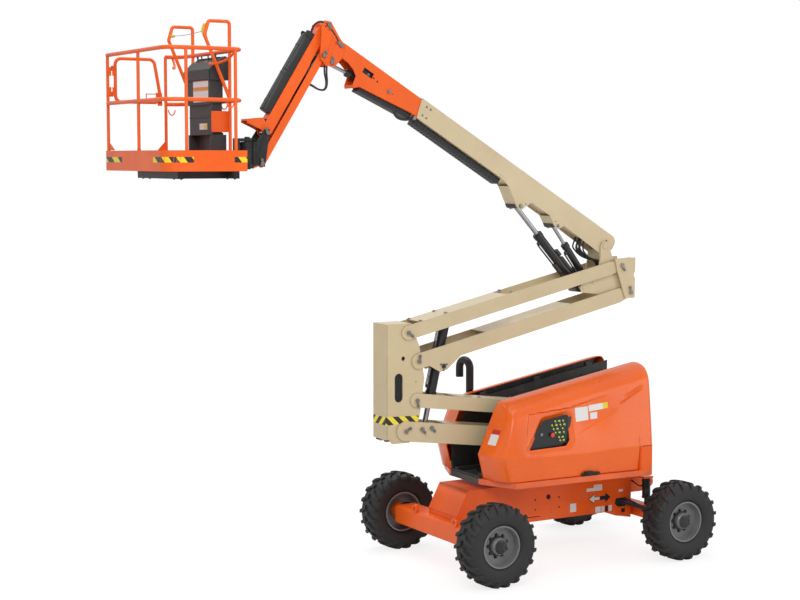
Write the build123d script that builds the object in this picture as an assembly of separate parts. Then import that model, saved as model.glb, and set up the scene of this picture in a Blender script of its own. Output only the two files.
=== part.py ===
"""Articulating boom lift with four wheels, a two-stage tower, a telescopic boom, a jib and a platform.

Frame: the origin is on the ground, midway between the axles. +X is the steering end, +Z is up, and the
boom reaches towards -X. Lengths are millimetres and angles are degrees.
"""
from build123d import *
from math import atan2, cos, degrees, hypot, radians, sin, sqrt
import os

# ---- running gear
wheelbase = 2332
track_outer = 2260
tyre_diameter = 838
tyre_width = 313
rim_lip_radius = 216
rim_lip_depth = 8
rim_half_width = 118
rim_wall = 8
disc_offset = 20
disc_thickness = 12
hub_radius = 87
hub_length = 80
hub_wall = 12
spindle_radius = 45
drum_radius = 95
lug_depth = 24
lug_count = 20
lug_length = 52
lug_inner = 14
lug_outer = 122
tread_half = 127

# ---- axles and steering
axle_box_width = 270
axle_box_height = 200
axle_box_half = 800
steer_beam_width = 120
steer_beam_height = 140
kingpin_half = 690
kingpin_radius = 20
knuckle_height = 190
knuckle_radius = 38
yoke_thickness = 30
steer_arm_reach = 130
steer_arm_width = 45
steer_rod_radius = 14
steer_barrel_radius = 30

# ---- chassis
chassis_half = 280
chassis_top = 835
chassis_bottom = 420
chassis_rear_top_x = -1050
chassis_rear_low_x = -1190
chassis_front_x = 1065
nose_reach = 215
nose_half = 250
nose_bottom = 600
nose_top = 800
pivot_bracket_length = 215
pivot_bracket_half = 280
pivot_bracket_drop = 90
pivot_bracket_rise = 50
tie_down_bore_radius = 24
tie_down_thickness = 20
lockout_radius = 45
lockout_half = 420
lockout_height = 220
lockout_rod_radius = 22

# ---- turntable
swing_x = 80
bearing_outer = 270
bearing_inner = 200
base_bottom = 890
base_top = 950
base_front_x = -920
base_front_half = 300
base_corner = (-740, 700)
body_mid = (300, 735)
tail_half = 765
tail_radius = 1170
counterweight_x = 815
counterweight_top = 1205
trough_half = 285
trough_wall = 12
cheek_thickness = 25

# ---- hoods
hood_wall = 12
hood_inner = 310
hood_crease_z = 1215
hood_front_x = -955
hood_slope = 10
hood_top_front = (-640, 1765)
hood_top_rear_x = 1040
hood_lean = 0.21
hood_shoulder = 430
hood_shoulder_fall = 0.75
hood_flange = 60
hinge_radius = 6
panel_outline = ((-510, 1262), (-300, 1550), (10, 1590), (-20, 1280))
panel_depth = 60
panel_y = -635

# ---- tower
plate = 12
flange = 8
pin_radius = 25
pin_head = 34
tower_link_half = 150
link_gap = 5
lower_length = 2300
lower_angle = 7.5
lower_top_pin = (691, 1500)
lower_pin_offset = (-132, -308)
lower_top_height = 143
lower_bottom_height = 205
upper_length = 2750
upper_angle = 12.65
upper_pin_offset = (124, -299)
upper_top_height = 145
upper_bottom_height = 157
upright_rise = (-102, 699)
upright_front_reach = 222
upright_top_rise = 96
upright_bottom_drop = 76
upright_tab = 45
link_nose_radius = 50

# ---- tower cylinder
tower_barrel_radius = 52
tower_rod_radius = 28
tower_lug = (275, -131)
tower_eye_pin = (299, 53)
tower_barrel_down = 330
tower_barrel_up = 490
trunnion_radius = 20

# ---- upper upright
ear_inner = 105
ear_thickness = 15
boom_pin_radius = 30
lift_base = (520, 2870)
master_base = (650, 2930)
cylinder_pin_radius = 22

# ---- main boom, in its own frame: along the boom, and down from its top line
boom_angle = 30.97
boom_top_start = (875, 3443)
boom_half = 100
boom_wall = 6
boom_length = 2727
boom_depth = 203
boom_skirt = 227
boom_pivot_down = 150
lift_eye = (1171, 330)
master_eye = (644, 269)
lift_barrel_radius = 48
lift_rod_radius = 26
lift_barrel_length = 800
master_barrel_radius = 38
master_rod_radius = 20
master_barrel_length = 520
eye_radius = 30
eye_lane = 38

# ---- fly section
fly_half = 90
fly_wall = 6
fly_top = 9
fly_bottom = 194
fly_tail = 250
fly_pad = 100
fly_taper_ahead = 73
fly_deep_ahead = 717
fly_deep_down = 286
fly_foot_ahead = 771
fly_foot_down = 335
fly_tip_ahead = 1096
fly_tip_down = 55
fly_tip_radius = 45
track_depth = 62
track_half = 60
running_gap = 0.3

# ---- jib
upright_plate = 14
jib_pin = (-2567, 5561)
jib_low_pin = (-2626, 5261)
slave_eye = (-2537, 5196)
slave_base_ahead = 403
slave_base_down = 149
slave_barrel_radius = 34
slave_rod_radius = 18
slave_barrel_length = 480
jib_length = 1241
jib_angle = 57.77
jib_half = 60
jib_height = 110
jib_relief = 9
jib_low_half = 74
jib_low_height = 76
jib_pin_radius = 20
carrier_height = 90
carrier_half = 50
carrier_span = (185, 1060)
jib_barrel_radius = 30
jib_rod_radius = 18
jib_barrel_length = 790
casting_inner = 80
casting_plate = 15
casting_step = 60

# ---- platform
rotator_x = -3400
rotator_radius = 80
rotator_shaft = 30
rotator_bottom = 4200
rotator_top = 4420
yoke_plate = 30
yoke_half = 50
platform_front_x = -4545
platform_rear_x = -3751
platform_half = 760
platform_bottom = 4146
floor_thickness = 30
kick_height = 190
kick_thickness = 4
corner_radius = 150
rail_radius = 19
top_rail_z = 5250
mid_rail_z = 4790
post_mid_y = -60
near_posts = (-4336, -3854)
latch_post_x = -3930
gate_tube = 16
gate_hinge_x = -4478
gate_bottom = 4790
gate_top = 5238
guard_half = 430
guard_front_x = -4020
guard_top = 5520
console_x = (-3944, -3745)
console_y = (-390, 200)
console_low_z = 4480
console_waist_z = 4770
console_sill_z = 4985
console_front_z = 5085
console_top_z = 5205


# ---------------------------------------------------------------- helpers
def outline(points, y0, y1):
    """A plate or block with an outline in X and Z, from y0 to y1."""
    face = make_face(Plane.XZ * Polyline(*points, close=True))
    return Pos(0, y0, 0) * extrude(face, amount=y1 - y0, dir=(0, 1, 0))


def plan(edges, z0, z1):
    """A block with a plan made of edges in X and Y, from z0 to z1."""
    return Pos(0, 0, z0) * extrude(make_face(edges), amount=z1 - z0, dir=(0, 0, 1))


def block(x0, x1, y0, y1, z0, z1):
    """A box from its limits."""
    return Pos((x0 + x1) / 2, (y0 + y1) / 2, (z0 + z1) / 2) * Box(x1 - x0, y1 - y0, z1 - z0)


def disc(at, radius, y0, y1):
    """A round bar along Y, centred on an X-Z point."""
    turned = Rot(90, 0, 0) * Cylinder(radius, y1 - y0)
    return Pos(at[0], (y0 + y1) / 2, at[1]) * turned


def upright_bar(x, y, radius, z0, z1):
    """A round bar along Z."""
    return Pos(x, y, (z0 + z1) / 2) * Cylinder(radius, z1 - z0)


def bar(start, end, radius):
    """A round bar between two points."""
    line = Line(start, end)
    return extrude(Plane(origin=start, z_dir=line % 0) * Circle(radius), amount=line.length)


def tube(points, radius, bend):
    """A bent tube, solid, through points with one bend radius."""
    path = FilletPolyline(*points, radius=bend)
    return sweep(Plane(origin=path @ 0, z_dir=path % 0) * Circle(radius), path=path)


def both(make):
    """The same piece on both sides; make takes the side, -1 or 1."""
    return make(-1) + make(1)


def pair(points, inner, thickness):
    """Two plates of one outline, whose inner faces are at inner on each side."""
    return outline(points, inner, inner + thickness) + outline(points, -inner - thickness, -inner)


def discs(at, radius, inner, thickness):
    """Two round plates, one on each side."""
    return disc(at, radius, inner, inner + thickness) + disc(at, radius, -inner - thickness, -inner)


def from_point(origin, angle, ahead, up):
    """A point given ahead of origin along angle, and up square to it."""
    c = cos(radians(angle))
    s = sin(radians(angle))
    return (origin[0] + ahead * c - up * s, origin[1] + ahead * s + up * c)


def along_boom(ahead, down):
    """A point in the main boom's own frame."""
    c = cos(radians(boom_angle))
    s = sin(radians(boom_angle))
    return (boom_top_start[0] - ahead * c - down * s, boom_top_start[1] + ahead * s - down * c)


def added(a, b):
    return (a[0] + b[0], a[1] + b[1])


def heading(a, b):
    return degrees(atan2(b[1] - a[1], b[0] - a[0]))


def distance(a, b):
    return hypot(b[0] - a[0], b[1] - a[1])


os.makedirs("parts", exist_ok=True)


def save(shape, name):
    export_step(shape, "parts/" + name + ".step")


# ---------------------------------------------------------------- joint points
fly_taper_start = boom_length + fly_taper_ahead
fly_deep = (boom_length + fly_deep_ahead, fly_deep_down)
fly_foot = (boom_length + fly_foot_ahead, fly_foot_down)
fly_tip_pin = (boom_length + fly_tip_ahead, fly_tip_down)
slave_base = (boom_length + slave_base_ahead, slave_base_down)
wheel_z = tyre_diameter / 2
wheel_y = (track_outer - tyre_width) / 2
front_x = wheelbase / 2
rear_x = -front_x
pin_bore = pin_radius + running_gap
lower_bottom_pin = added(lower_top_pin, lower_pin_offset)
upright_low_a = from_point(lower_top_pin, 180 - lower_angle, lower_length, 0)
upright_low_b = added(upright_low_a, lower_pin_offset)
upright_up_a = added(upright_low_a, upright_rise)
upright_up_b = added(upright_up_a, upper_pin_offset)
upper_a = from_point(upright_up_a, upper_angle, upper_length, 0)
upper_b = added(upper_a, upper_pin_offset)
boom_pin = along_boom(0, boom_pivot_down)
tip_pin = along_boom(*fly_tip_pin)
jib_end_pin = from_point(jib_pin, 180 + jib_angle, jib_length, 0)
jib_end_low = from_point(jib_low_pin, 180 + jib_angle, jib_length, 0)


# ---------------------------------------------------------------- wheels
def wheel_section(points):
    return revolve(make_face(Plane.YZ * Polyline(*points, close=True)), Axis.Y, 360)


tyre_radius = tyre_diameter / 2
barrel_radius = rim_lip_radius - rim_lip_depth
bead = barrel_radius + running_gap
bead_half = rim_half_width - plate - running_gap
half_tyre = tyre_width / 2
carcass_radius = tyre_radius - lug_depth
tyre_sides = 2 * lug_count
sidewall_stations = (
    # along Y, radius to the flats
    (tread_half, carcass_radius),
    (half_tyre - 6, carcass_radius - 22),
    (half_tyre, rim_lip_radius + 60),
)
bead_mouth = (bead_half, rim_lip_radius + 2)


def drum(near, far):
    """A drum with one flat for each lug, between two stations along Y."""
    half_turn = radians(180 / tyre_sides)
    rings = []
    for y, r in (near, far):
        corner_reach = r / cos(half_turn)
        angles = [half_turn * (2 * k + 1) for k in range(tyre_sides)]
        rings.append([(corner_reach * sin(a), y, corner_reach * cos(a)) for a in angles])
    first, last = rings
    flats = [make_face(Polyline(*first, close=True)), make_face(Polyline(*last, close=True))]
    for k in range(tyre_sides):
        after = (k + 1) % tyre_sides
        flats.append(make_face(Polyline(first[k], first[after], last[after], last[k], close=True)))
    return Solid(Shell([flat.faces()[0] for flat in flats]))


def mirrored_station(station):
    return (-station[0], station[1])


carcass = drum(sidewall_stations[0], mirrored_station(sidewall_stations[0]))
for near, far in zip(sidewall_stations, sidewall_stations[1:]):
    carcass += drum(near, far)
    carcass += drum(mirrored_station(far), mirrored_station(near))
carcass -= drum((bead_half, bead), (-bead_half, bead))
flare_run = sidewall_stations[-1][0] - bead_mouth[0]
flare_rise = sidewall_stations[-1][1] - bead_mouth[1]
beyond = (bead_mouth[0] + 1.2 * flare_run, bead_mouth[1] + 1.2 * flare_rise)
carcass -= drum(bead_mouth, beyond)
carcass -= drum(mirrored_station(beyond), mirrored_station(bead_mouth))


def tread(side):
    """One row of lugs round the tyre; the two rows are staggered by half a pitch."""
    y0, y1 = sorted((side * lug_inner, side * lug_outer))
    half = lug_length / 2
    lug = block(-half, half, y0, y1, carcass_radius - 6, tyre_radius)
    pitch = 360 / lug_count
    first = 180 if side > 0 else 180 + pitch / 2
    return [Rot(0, first + pitch * k, 0) * lug for k in range(lug_count)]


tyre = carcass + tread(1) + tread(-1)
rim_profile = (
    (-rim_half_width, barrel_radius - rim_wall),
    (-rim_half_width, rim_lip_radius),
    (-rim_half_width + plate, rim_lip_radius),
    (-rim_half_width + plate, barrel_radius),
    (rim_half_width - plate, barrel_radius),
    (rim_half_width - plate, rim_lip_radius),
    (rim_half_width, rim_lip_radius),
    (rim_half_width, barrel_radius - rim_wall),
    (disc_offset + disc_thickness, barrel_radius - rim_wall),
    (disc_offset + disc_thickness, hub_radius),
    (disc_offset + hub_length - 20, hub_radius),
    (disc_offset + hub_length, hub_radius - 15),
    (disc_offset + hub_length, 0),
    (disc_offset + hub_length - hub_wall, 0),
    (disc_offset + hub_length - hub_wall, spindle_radius + running_gap),
    (disc_offset - 10, spindle_radius + running_gap),
    (disc_offset - 10, hub_radius),
    (disc_offset, hub_radius),
    (disc_offset, barrel_radius - rim_wall),
)
rim = wheel_section(rim_profile)
corners = {
    "front_left": (front_x, 1),
    "front_right": (front_x, -1),
    "rear_left": (rear_x, 1),
    "rear_right": (rear_x, -1),
}
for corner, (x, side) in corners.items():
    turn = Rot(0, 0, 0 if side > 0 else 180)
    save(Pos(x, side * wheel_y, wheel_z) * tyre, "tyre_" + corner)
    save(Pos(x, side * wheel_y, wheel_z) * turn * rim, "rim_" + corner)

# ---------------------------------------------------------------- rear axle
spindle_end = wheel_y + disc_offset + hub_length - hub_wall - running_gap
drum_end = wheel_y + disc_offset - 15


def spindle(side, x, drum_start):
    """The drum inside the rim and the spindle that the wheel turns on."""
    start = side * drum_start
    drum = disc((x, wheel_z), drum_radius, *sorted((start, side * drum_end)))
    shaft = disc((x, wheel_z), spindle_radius, *sorted((start, side * spindle_end)))
    return drum + shaft


axle_low = wheel_z - axle_box_height / 2
axle_high = wheel_z + axle_box_height / 2
rear_face = rear_x - axle_box_width / 2
rear_back = rear_face + axle_box_width
rear_beam = block(rear_face, rear_back, -axle_box_half, axle_box_half, axle_low, axle_high)
rear_beam = fillet(rear_beam.edges().filter_by(Axis.Y), 35)
tie_reach = 60
tie_height = 110
ring_radius = 48
ring_reach = 30


def tie_down(x, y, z, ahead):
    """A tie-down lug with a round bore across it, standing ahead of a face at x."""
    tip = x + ahead * tie_reach
    y0 = y - tie_down_thickness / 2
    y1 = y + tie_down_thickness / 2
    lug = block(*sorted((x, tip)), y0, y1, z - tie_height / 2, z + tie_height / 2)
    nose = disc((tip, z), tie_height / 2, y0, y1)
    return lug + nose - disc((tip, z), tie_down_bore_radius, y0 - 1, y1 + 1)


def tie_ring(side):
    """A thick round eye on the rear face, bored along the machine."""
    at = (side * rear_tie_half, axle_high + ring_radius - 20)
    ring = Pos(rear_face + ring_reach / 2, *at) * Rot(0, 90, 0) * Cylinder(ring_radius, ring_reach)
    return ring - Pos(rear_face, *at) * Rot(0, 90, 0) * Cylinder(tie_down_bore_radius, 3 * ring_reach)


rear_tie_half = 400
rear_axle = rear_beam + both(lambda side: spindle(side, rear_x, axle_box_half))
rear_axle += both(tie_ring)
save(rear_axle, "rear_axle")

# ---------------------------------------------------------------- steering axle and knuckles
beam_low = wheel_z - steer_beam_height / 2
beam_high = wheel_z + steer_beam_height / 2
half_beam = steer_beam_width / 2
yoke_gap = knuckle_height / 2 + link_gap
yoke_back = kingpin_half - knuckle_radius - 12


def yoke(side):
    """The C-shaped beam end, with its kingpin."""
    reach = yoke_gap + yoke_thickness
    root = side * (yoke_back - yoke_thickness)
    across = sorted((root, side * yoke_back))
    ear = sorted((root, side * (kingpin_half + 45)))
    x0 = front_x - knuckle_radius
    x1 = front_x + knuckle_radius
    shape = block(front_x - half_beam, front_x + half_beam, *across, wheel_z - reach, wheel_z + reach)
    shape += block(x0, x1, *ear, wheel_z + yoke_gap, wheel_z + reach)
    shape += block(x0, x1, *ear, wheel_z - reach, wheel_z - yoke_gap)
    pin = upright_bar(front_x, side * kingpin_half, kingpin_radius, wheel_z - reach - 6, wheel_z + reach + 6)
    return shape + pin


steer_x = front_x + steer_arm_reach
steer_barrel_half = 190
steer_rod_half = 590
front_axle = block(front_x - half_beam, front_x + half_beam, -yoke_back, yoke_back, beam_low, beam_high)
front_axle += both(yoke)
pivot_boss = Pos(front_x, 0, wheel_z) * Rot(0, 90, 0) * Cylinder(70, steer_beam_width + 40)
steer_barrel = disc((steer_x, wheel_z), steer_barrel_radius, -steer_barrel_half, steer_barrel_half)
steer_rods = disc((steer_x, wheel_z), steer_rod_radius, -steer_rod_half, steer_rod_half)
steer_mount = block(front_x + half_beam - 1, steer_x, -120, 120, wheel_z - 12, wheel_z + 12)
save(front_axle + pivot_boss + steer_barrel + steer_rods + steer_mount, "front_axle")


def knuckle(side):
    """The knuckle between the yoke's ears: its barrel, drum, spindle and steering arm."""
    at = side * kingpin_half
    half = knuckle_height / 2
    barrel = upright_bar(front_x, at, knuckle_radius, wheel_z - half, wheel_z + half)
    drum_start = kingpin_half + 60
    neck = disc((front_x, wheel_z), 60, *sorted((at, side * drum_start)))
    width = sorted((at, at + side * steer_arm_width))
    arm = block(front_x + 30, steer_x + 20, *width, wheel_z - 14, wheel_z + 14)
    bore = upright_bar(front_x, at, kingpin_radius + running_gap, wheel_z - 2 * half, wheel_z + 2 * half)
    return barrel + neck + spindle(side, front_x, drum_start) + arm - bore


save(knuckle(1), "knuckle_left")
save(knuckle(-1), "knuckle_right")

# ---------------------------------------------------------------- chassis
box_front = rear_x + axle_box_width / 2
nose_x = chassis_front_x + nose_reach
hull = outline((
    (chassis_rear_top_x, chassis_top),
    (chassis_rear_low_x, 570),
    (chassis_rear_low_x, axle_high),
    (box_front, axle_high),
    (box_front, chassis_bottom),
    (chassis_front_x, chassis_bottom),
    (chassis_front_x, chassis_top),
), -chassis_half, chassis_half)
pivot_bracket = outline((
    (chassis_front_x - pivot_bracket_length, chassis_bottom),
    (chassis_front_x - pivot_bracket_length, chassis_bottom - pivot_bracket_rise),
    (chassis_front_x, chassis_bottom - pivot_bracket_drop),
    (chassis_front_x, chassis_bottom),
), -pivot_bracket_half, pivot_bracket_half)
nose = outline((
    (chassis_front_x, nose_bottom),
    (nose_x - 40, nose_bottom),
    (nose_x, nose_bottom + 40),
    (nose_x, nose_top),
    (chassis_front_x, nose_top),
), -nose_half, nose_half)
side_holes = ((-36, 665, 26), (-207, 652, 10), (-206, 546, 10), (99, 651, 10), (100, 544, 10))
chassis = hull + pivot_bracket + nose
for x, z, radius in side_holes:
    chassis -= disc((x, z), radius, -chassis_half - 1, -chassis_half + 60)
    chassis -= disc((x, z), radius, chassis_half - 60, chassis_half + 1)
lockout_top = nose_top - 20
bracket_out = lockout_half + lockout_radius
for side in (-1, 1):
    ends = (side * nose_half, side * bracket_out)
    chassis += block(front_x - 60, front_x + 60, min(ends), max(ends), lockout_top, nose_top)
    chassis += tie_down(nose_x, side * (nose_half - tie_down_thickness / 2), 690, 1)
save(chassis, "chassis_frame")

lockout_low = lockout_top - running_gap - lockout_height


def lockout(side):
    """An upright cylinder that locks the steering axle, standing on its beam."""
    body = upright_bar(front_x, side * lockout_half, lockout_radius, lockout_low, lockout_top - running_gap)
    rod = upright_bar(front_x, side * lockout_half, lockout_rod_radius, beam_high + running_gap, lockout_low)
    return body + rod


save(both(lockout), "lockout_cylinders")
ring = upright_bar(swing_x, 0, bearing_outer, chassis_top, base_bottom - running_gap)
save(ring - upright_bar(swing_x, 0, bearing_inner, chassis_top - 1, base_bottom), "swing_bearing")

# ---------------------------------------------------------------- turntable
tail_end_x = swing_x + sqrt(tail_radius**2 - tail_half**2)
tail_x = swing_x + tail_radius


def half_outline(front, front_half, corner):
    """The turntable's plan, mirrored about its length, with a round tail."""
    left = ((front, front_half), corner, body_mid, (tail_end_x, tail_half))
    right = tuple((x, -y) for x, y in left)
    return (
        Polyline(*reversed(right), *left)
        + ThreePointArc((tail_end_x, tail_half), (tail_x, 0), (tail_end_x, -tail_half))
    )


base_plan = half_outline(base_front_x, base_front_half, base_corner)
base = plan(base_plan, base_bottom, base_top)


def cheek(side):
    """The upright plate that holds the lower links' pins, outside them."""
    points = (
        (lower_bottom_pin[0] - 190, base_top),
        (lower_bottom_pin[0] - 90, lower_bottom_pin[1] + 40),
        (lower_top_pin[0] - 75, lower_top_pin[1] + 75),
        (lower_top_pin[0] + 75, lower_top_pin[1] + 75),
        (counterweight_x - 12, base_top),
    )
    inner = tower_link_half + link_gap
    ends = (side * inner, side * (inner + cheek_thickness))
    return outline(points, min(ends), max(ends))


cheek_outer = tower_link_half + link_gap + cheek_thickness
base += both(cheek)
for at in (lower_top_pin, lower_bottom_pin):
    base += disc(at, pin_radius, -cheek_outer - 6, cheek_outer + 6)
save(base, "turntable_base")

counterweight = plan(half_outline(base_front_x, base_front_half, base_corner), base_top, counterweight_top)
counterweight &= block(counterweight_x, tail_x + 10, -900, 900, base_top, counterweight_top)
save(counterweight, "counterweight")


# ---------------------------------------------------------------- hoods and trough walls
slope = radians(hood_slope)
rise = sin(slope) / cos(slope)


def hood_top(x):
    return hood_top_front[1] + (x - hood_top_front[0]) * rise


def hood_solid(inset):
    """The left hood's outer form, drawn in by inset."""
    edge = hood_inner + inset
    skin_plan = (
        (hood_front_x + inset, edge),
        (hood_front_x + 25 + inset, 520 - inset),
        (hood_front_x + 95 + inset, 650 - inset),
        (base_corner[0], base_corner[1] + 10 - inset),
        (body_mid[0], body_mid[1] - inset),
        (tail_end_x - inset, tail_half - inset),
    )
    rear_edge = (swing_x + sqrt((tail_radius - inset)**2 - edge**2), edge)
    middle = (swing_x + (tail_radius - inset) * cos(radians(28)), (tail_radius - inset) * sin(radians(28)))
    edges = Polyline(rear_edge, *skin_plan) + ThreePointArc(skin_plan[-1], middle, rear_edge)
    low = base_top + running_gap if inset == 0 else base_top - 50
    body = plan(edges, low, 2200)
    top_rear = hood_top(hood_top_rear_x)
    side_view = outline((
        (hood_front_x + 70 + inset, low),
        (hood_front_x + inset, hood_crease_z),
        (hood_top_front[0] - 95 + inset, hood_top_front[1] - 70 - inset),
        (hood_top_front[0] + inset, hood_top_front[1] - inset),
        (hood_top_rear_x - inset, top_rear - inset),
        (hood_top_rear_x + 95 - inset, top_rear - 60 - inset),
        (tail_x - inset, 1700),
        (tail_x - inset, hood_crease_z + inset),
        (counterweight_x - link_gap - inset, counterweight_top + link_gap + inset),
        (counterweight_x - link_gap - inset, low),
    ), 0, 1000)
    lean = make_face(Plane.YZ * Polyline(
        (0, low),
        (0, 2200),
        (tail_half - inset - (2200 - hood_crease_z) * hood_lean, 2200),
        (tail_half - inset, hood_crease_z),
        (tail_half - inset - 30, low),
        close=True,
    ))
    leaning = Pos(-1500, 0, 0) * extrude(lean, amount=3000, dir=(1, 0, 0))
    ridge = hood_top(-1500) - inset
    shoulder = make_face(Plane.YZ * Polyline(
        (0, 0),
        (0, ridge),
        (hood_shoulder - inset, ridge),
        (hood_shoulder + 400, ridge - 400 * hood_shoulder_fall - inset / 2),
        (hood_shoulder + 400, 0),
        close=True,
    ))
    sloping = Pos(-1500, 0, 0) * extrude(shoulder, amount=3000 / cos(slope), dir=(cos(slope), 0, sin(slope)))
    return body & side_view & leaning & sloping


open_side = outline((
    (hood_front_x + 70, base_top - 60),
    (hood_front_x + 70, hood_top(hood_front_x + 70) - hood_flange),
    (tail_x + 10, hood_top(tail_x + 10) - hood_flange),
    (tail_x + 10, base_top - 60),
), 0, hood_inner + hood_wall + 1)
hood_left = hood_solid(0) - hood_solid(hood_wall) - open_side
hood_right = mirror(hood_left, Plane.XZ) - outline(panel_outline, -900, -500)
save(hood_left, "hood_left")
save(hood_right, "hood_right")

wall_rear_x = 1150
wall_drop = hood_flange + 15
axis_y = hood_inner - hinge_radius - 0.5
axis_drop = 40


def trough_side(side):
    """The trough's wall on one side, with the hood's hinge barrels along its top."""
    x0 = hood_front_x + 60
    wall = outline((
        (x0, base_top),
        (x0, hood_crease_z),
        (x0 + 230, hood_top(x0 + 230) - wall_drop),
        (wall_rear_x, hood_top(wall_rear_x) - wall_drop),
        (wall_rear_x, counterweight_top),
        (counterweight_x - 6, counterweight_top),
        (counterweight_x - 6, base_top),
    ), *sorted((side * trough_half, side * (trough_half + trough_wall))))
    for x in (-500, 200, 900):
        z = hood_top(x) - axis_drop
        ends = (side * trough_half, side * axis_y)
        wall += block(x - 40, x + 40, min(ends), max(ends), z - 60, z - 4)
        start = (x - 40 * cos(slope), side * axis_y, z - 40 * sin(slope))
        end = (x + 40 * cos(slope), side * axis_y, z + 40 * sin(slope))
        wall += bar(start, end, hinge_radius)
    return wall


walls = both(trough_side)
save(walls, "trough_walls")

engine_top = 1560
save(block(-450, 350, trough_half + trough_wall + 30, 600, base_top, engine_top), "engine_block")
save(block(150, 700, -620, -trough_half - trough_wall - 30, base_top, 1450), "fluid_tank")

exhaust_at = (-560, 470)
exhaust_radius = 42
exhaust_foot = hood_top(exhaust_at[0]) - 90
exhaust_crown = 2080
pipe = tube((
    (exhaust_at[0], exhaust_at[1], exhaust_foot),
    (exhaust_at[0], exhaust_at[1], exhaust_crown),
    (exhaust_at[0] - 20, exhaust_at[1] + 175, exhaust_crown),
    (exhaust_at[0] - 20, exhaust_at[1] + 175, exhaust_crown - 190),
), exhaust_radius, 85)
save((pipe - hood_left).solids().sort_by(SortBy.VOLUME)[-1], "exhaust_elbow")

panel_centre_x = sum(x for x, z in panel_outline) / len(panel_outline)
panel_centre_z = sum(z for x, z in panel_outline) / len(panel_outline)
panel_scale = 0.93
panel_points = tuple(
    (panel_centre_x + (x - panel_centre_x) * panel_scale, panel_centre_z + (z - panel_centre_z) * panel_scale)
    for x, z in panel_outline
)
control_box = outline(panel_points, panel_y, panel_y + panel_depth)
panel_low = min(z for x, z in panel_points)
stalk = (panel_centre_x - 60, panel_centre_x + 60, panel_y + panel_depth - 30, panel_y + panel_depth)
control_box += block(*stalk, base_top, panel_low + 60)
save(control_box, "ground_control_box")


# ---------------------------------------------------------------- tower links
def link_sides(start, angle, length, height, extra=(), end_radius=None):
    """A link's two side plates with round ends and bored pin holes."""
    half = height / 2
    end_half = end_radius or half
    top_edge = [(0, half), (length - 150, half), (length, end_half)]
    low_edge = [(length, -end_half), (length - 150, -half), *extra, (0, -half)]
    points = top_edge + low_edge
    inner = tower_link_half - plate
    shape = pair([from_point(start, angle, *p) for p in points], inner, plate)
    end = from_point(start, angle, length, 0)
    shape += discs(start, half, inner, plate)
    shape += discs(end, end_half, inner, plate)
    for at in (start, end):
        shape -= disc(at, pin_bore, -tower_link_half - 1, tower_link_half + 1)
    return shape


def cross_plate(start, angle, a0, a1, level):
    """A plate across a link, between its sides, from a0 to a1, centred at a level."""
    inner = tower_link_half - plate
    low = level - flange / 2
    high = level + flange / 2
    points = ((a0, low), (a1, low), (a1, high), (a0, high))
    return outline([from_point(start, angle, *p) for p in points], -inner, inner)


low_heading = -lower_angle
open_start = 500
top_level = lower_top_height / 2 - flange / 2
lower_link_top = link_sides(upright_low_a, low_heading, lower_length, lower_top_height)
for level in (-top_level, top_level):
    lower_link_top += cross_plate(upright_low_a, low_heading, open_start, lower_length - 200, level)
save(lower_link_top, "lower_link_top")

bottom_level = lower_bottom_height / 2 - flange / 2
lower_link_bottom = link_sides(upright_low_b, low_heading, lower_length, lower_bottom_height)
for level in (-bottom_level, bottom_level):
    lower_link_bottom += cross_plate(upright_low_b, low_heading, open_start, lower_length - 200, level)
eye_home = from_point(upright_low_b, low_heading, *tower_eye_pin)
lower_link_bottom += discs(eye_home, pin_radius, tower_link_half, 8)
keeper_at = from_point(upright_low_b, low_heading, tower_eye_pin[0] - 113, tower_eye_pin[1] - 20)
lower_link_bottom += discs(keeper_at, pin_radius, tower_link_half, 8)
save(lower_link_bottom, "lower_link_bottom")

upper_open = 1500
upper_top_level = upper_top_height / 2 - flange / 2
upper_link_top = link_sides(upright_up_a, upper_angle, upper_length, upper_top_height, (), link_nose_radius)
upper_link_top += cross_plate(upright_up_a, upper_angle, 170, upper_length - upper_open, upper_top_level)
upper_link_top += cross_plate(upright_up_a, upper_angle, 950, upper_length - upper_open, -upper_top_level)
save(upper_link_top, "upper_link_top")

lug_x, lug_drop = tower_lug
half_low = upper_bottom_height / 2
lug_outline = ((500, -half_low), (lug_x + 30, lug_drop - 45), (lug_x - 55, lug_drop - 45), (110, -half_low))
upper_bottom_level = half_low - flange / 2
bottom_ends = (lug_outline, link_nose_radius)
upper_link_bottom = link_sides(upright_up_b, upper_angle, upper_length, upper_bottom_height, *bottom_ends)
upper_link_bottom += cross_plate(upright_up_b, upper_angle, 850, upper_length - 780, upper_bottom_level)
upper_link_bottom += cross_plate(upright_up_b, upper_angle, 850, upper_length - 300, -upper_bottom_level)
trunnion_at = from_point(upright_up_b, upper_angle, *tower_lug)
upper_link_bottom -= disc(trunnion_at, trunnion_radius + running_gap, -2 * tower_link_half, 2 * tower_link_half)
save(upper_link_bottom, "upper_link_bottom")

# ---------------------------------------------------------------- tower upright
upright_outer = tower_link_half - plate - link_gap
upright_front_x = upright_low_b[0] - upright_front_reach
upright_top = upright_up_a[1] + upright_top_rise
upright_bottom = upright_low_b[1] - upright_bottom_drop
upright_back = upright_up_b[0] + 74
upright_points = (
    (upright_front_x, upright_top),
    (upright_up_a[0] + 40, upright_top),
    (upright_up_b[0] + 17, upright_up_b[1] + 150),
    (upright_back, upright_low_a[1] + 224),
    (upright_low_a[0] + 40, upright_low_a[1] - 165),
    (upright_low_b[0] + 101, upright_bottom),
    (upright_low_b[0] + 50, upright_bottom - upright_tab),
    (upright_low_b[0] - 150, upright_bottom - upright_tab),
    (upright_front_x + 34, upright_bottom),
    (upright_front_x, upright_bottom),
)
upright = pair(upright_points, upright_outer - plate, plate)
across = (-upright_outer, upright_outer)
back_web = (upright_back - 60, upright_back - 48)
upright += block(upright_front_x, upright_front_x + plate, *across, upright_bottom, upright_top)
upright += block(upright_front_x, upright_up_a[0] + 30, *across, upright_top - plate, upright_top)
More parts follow.
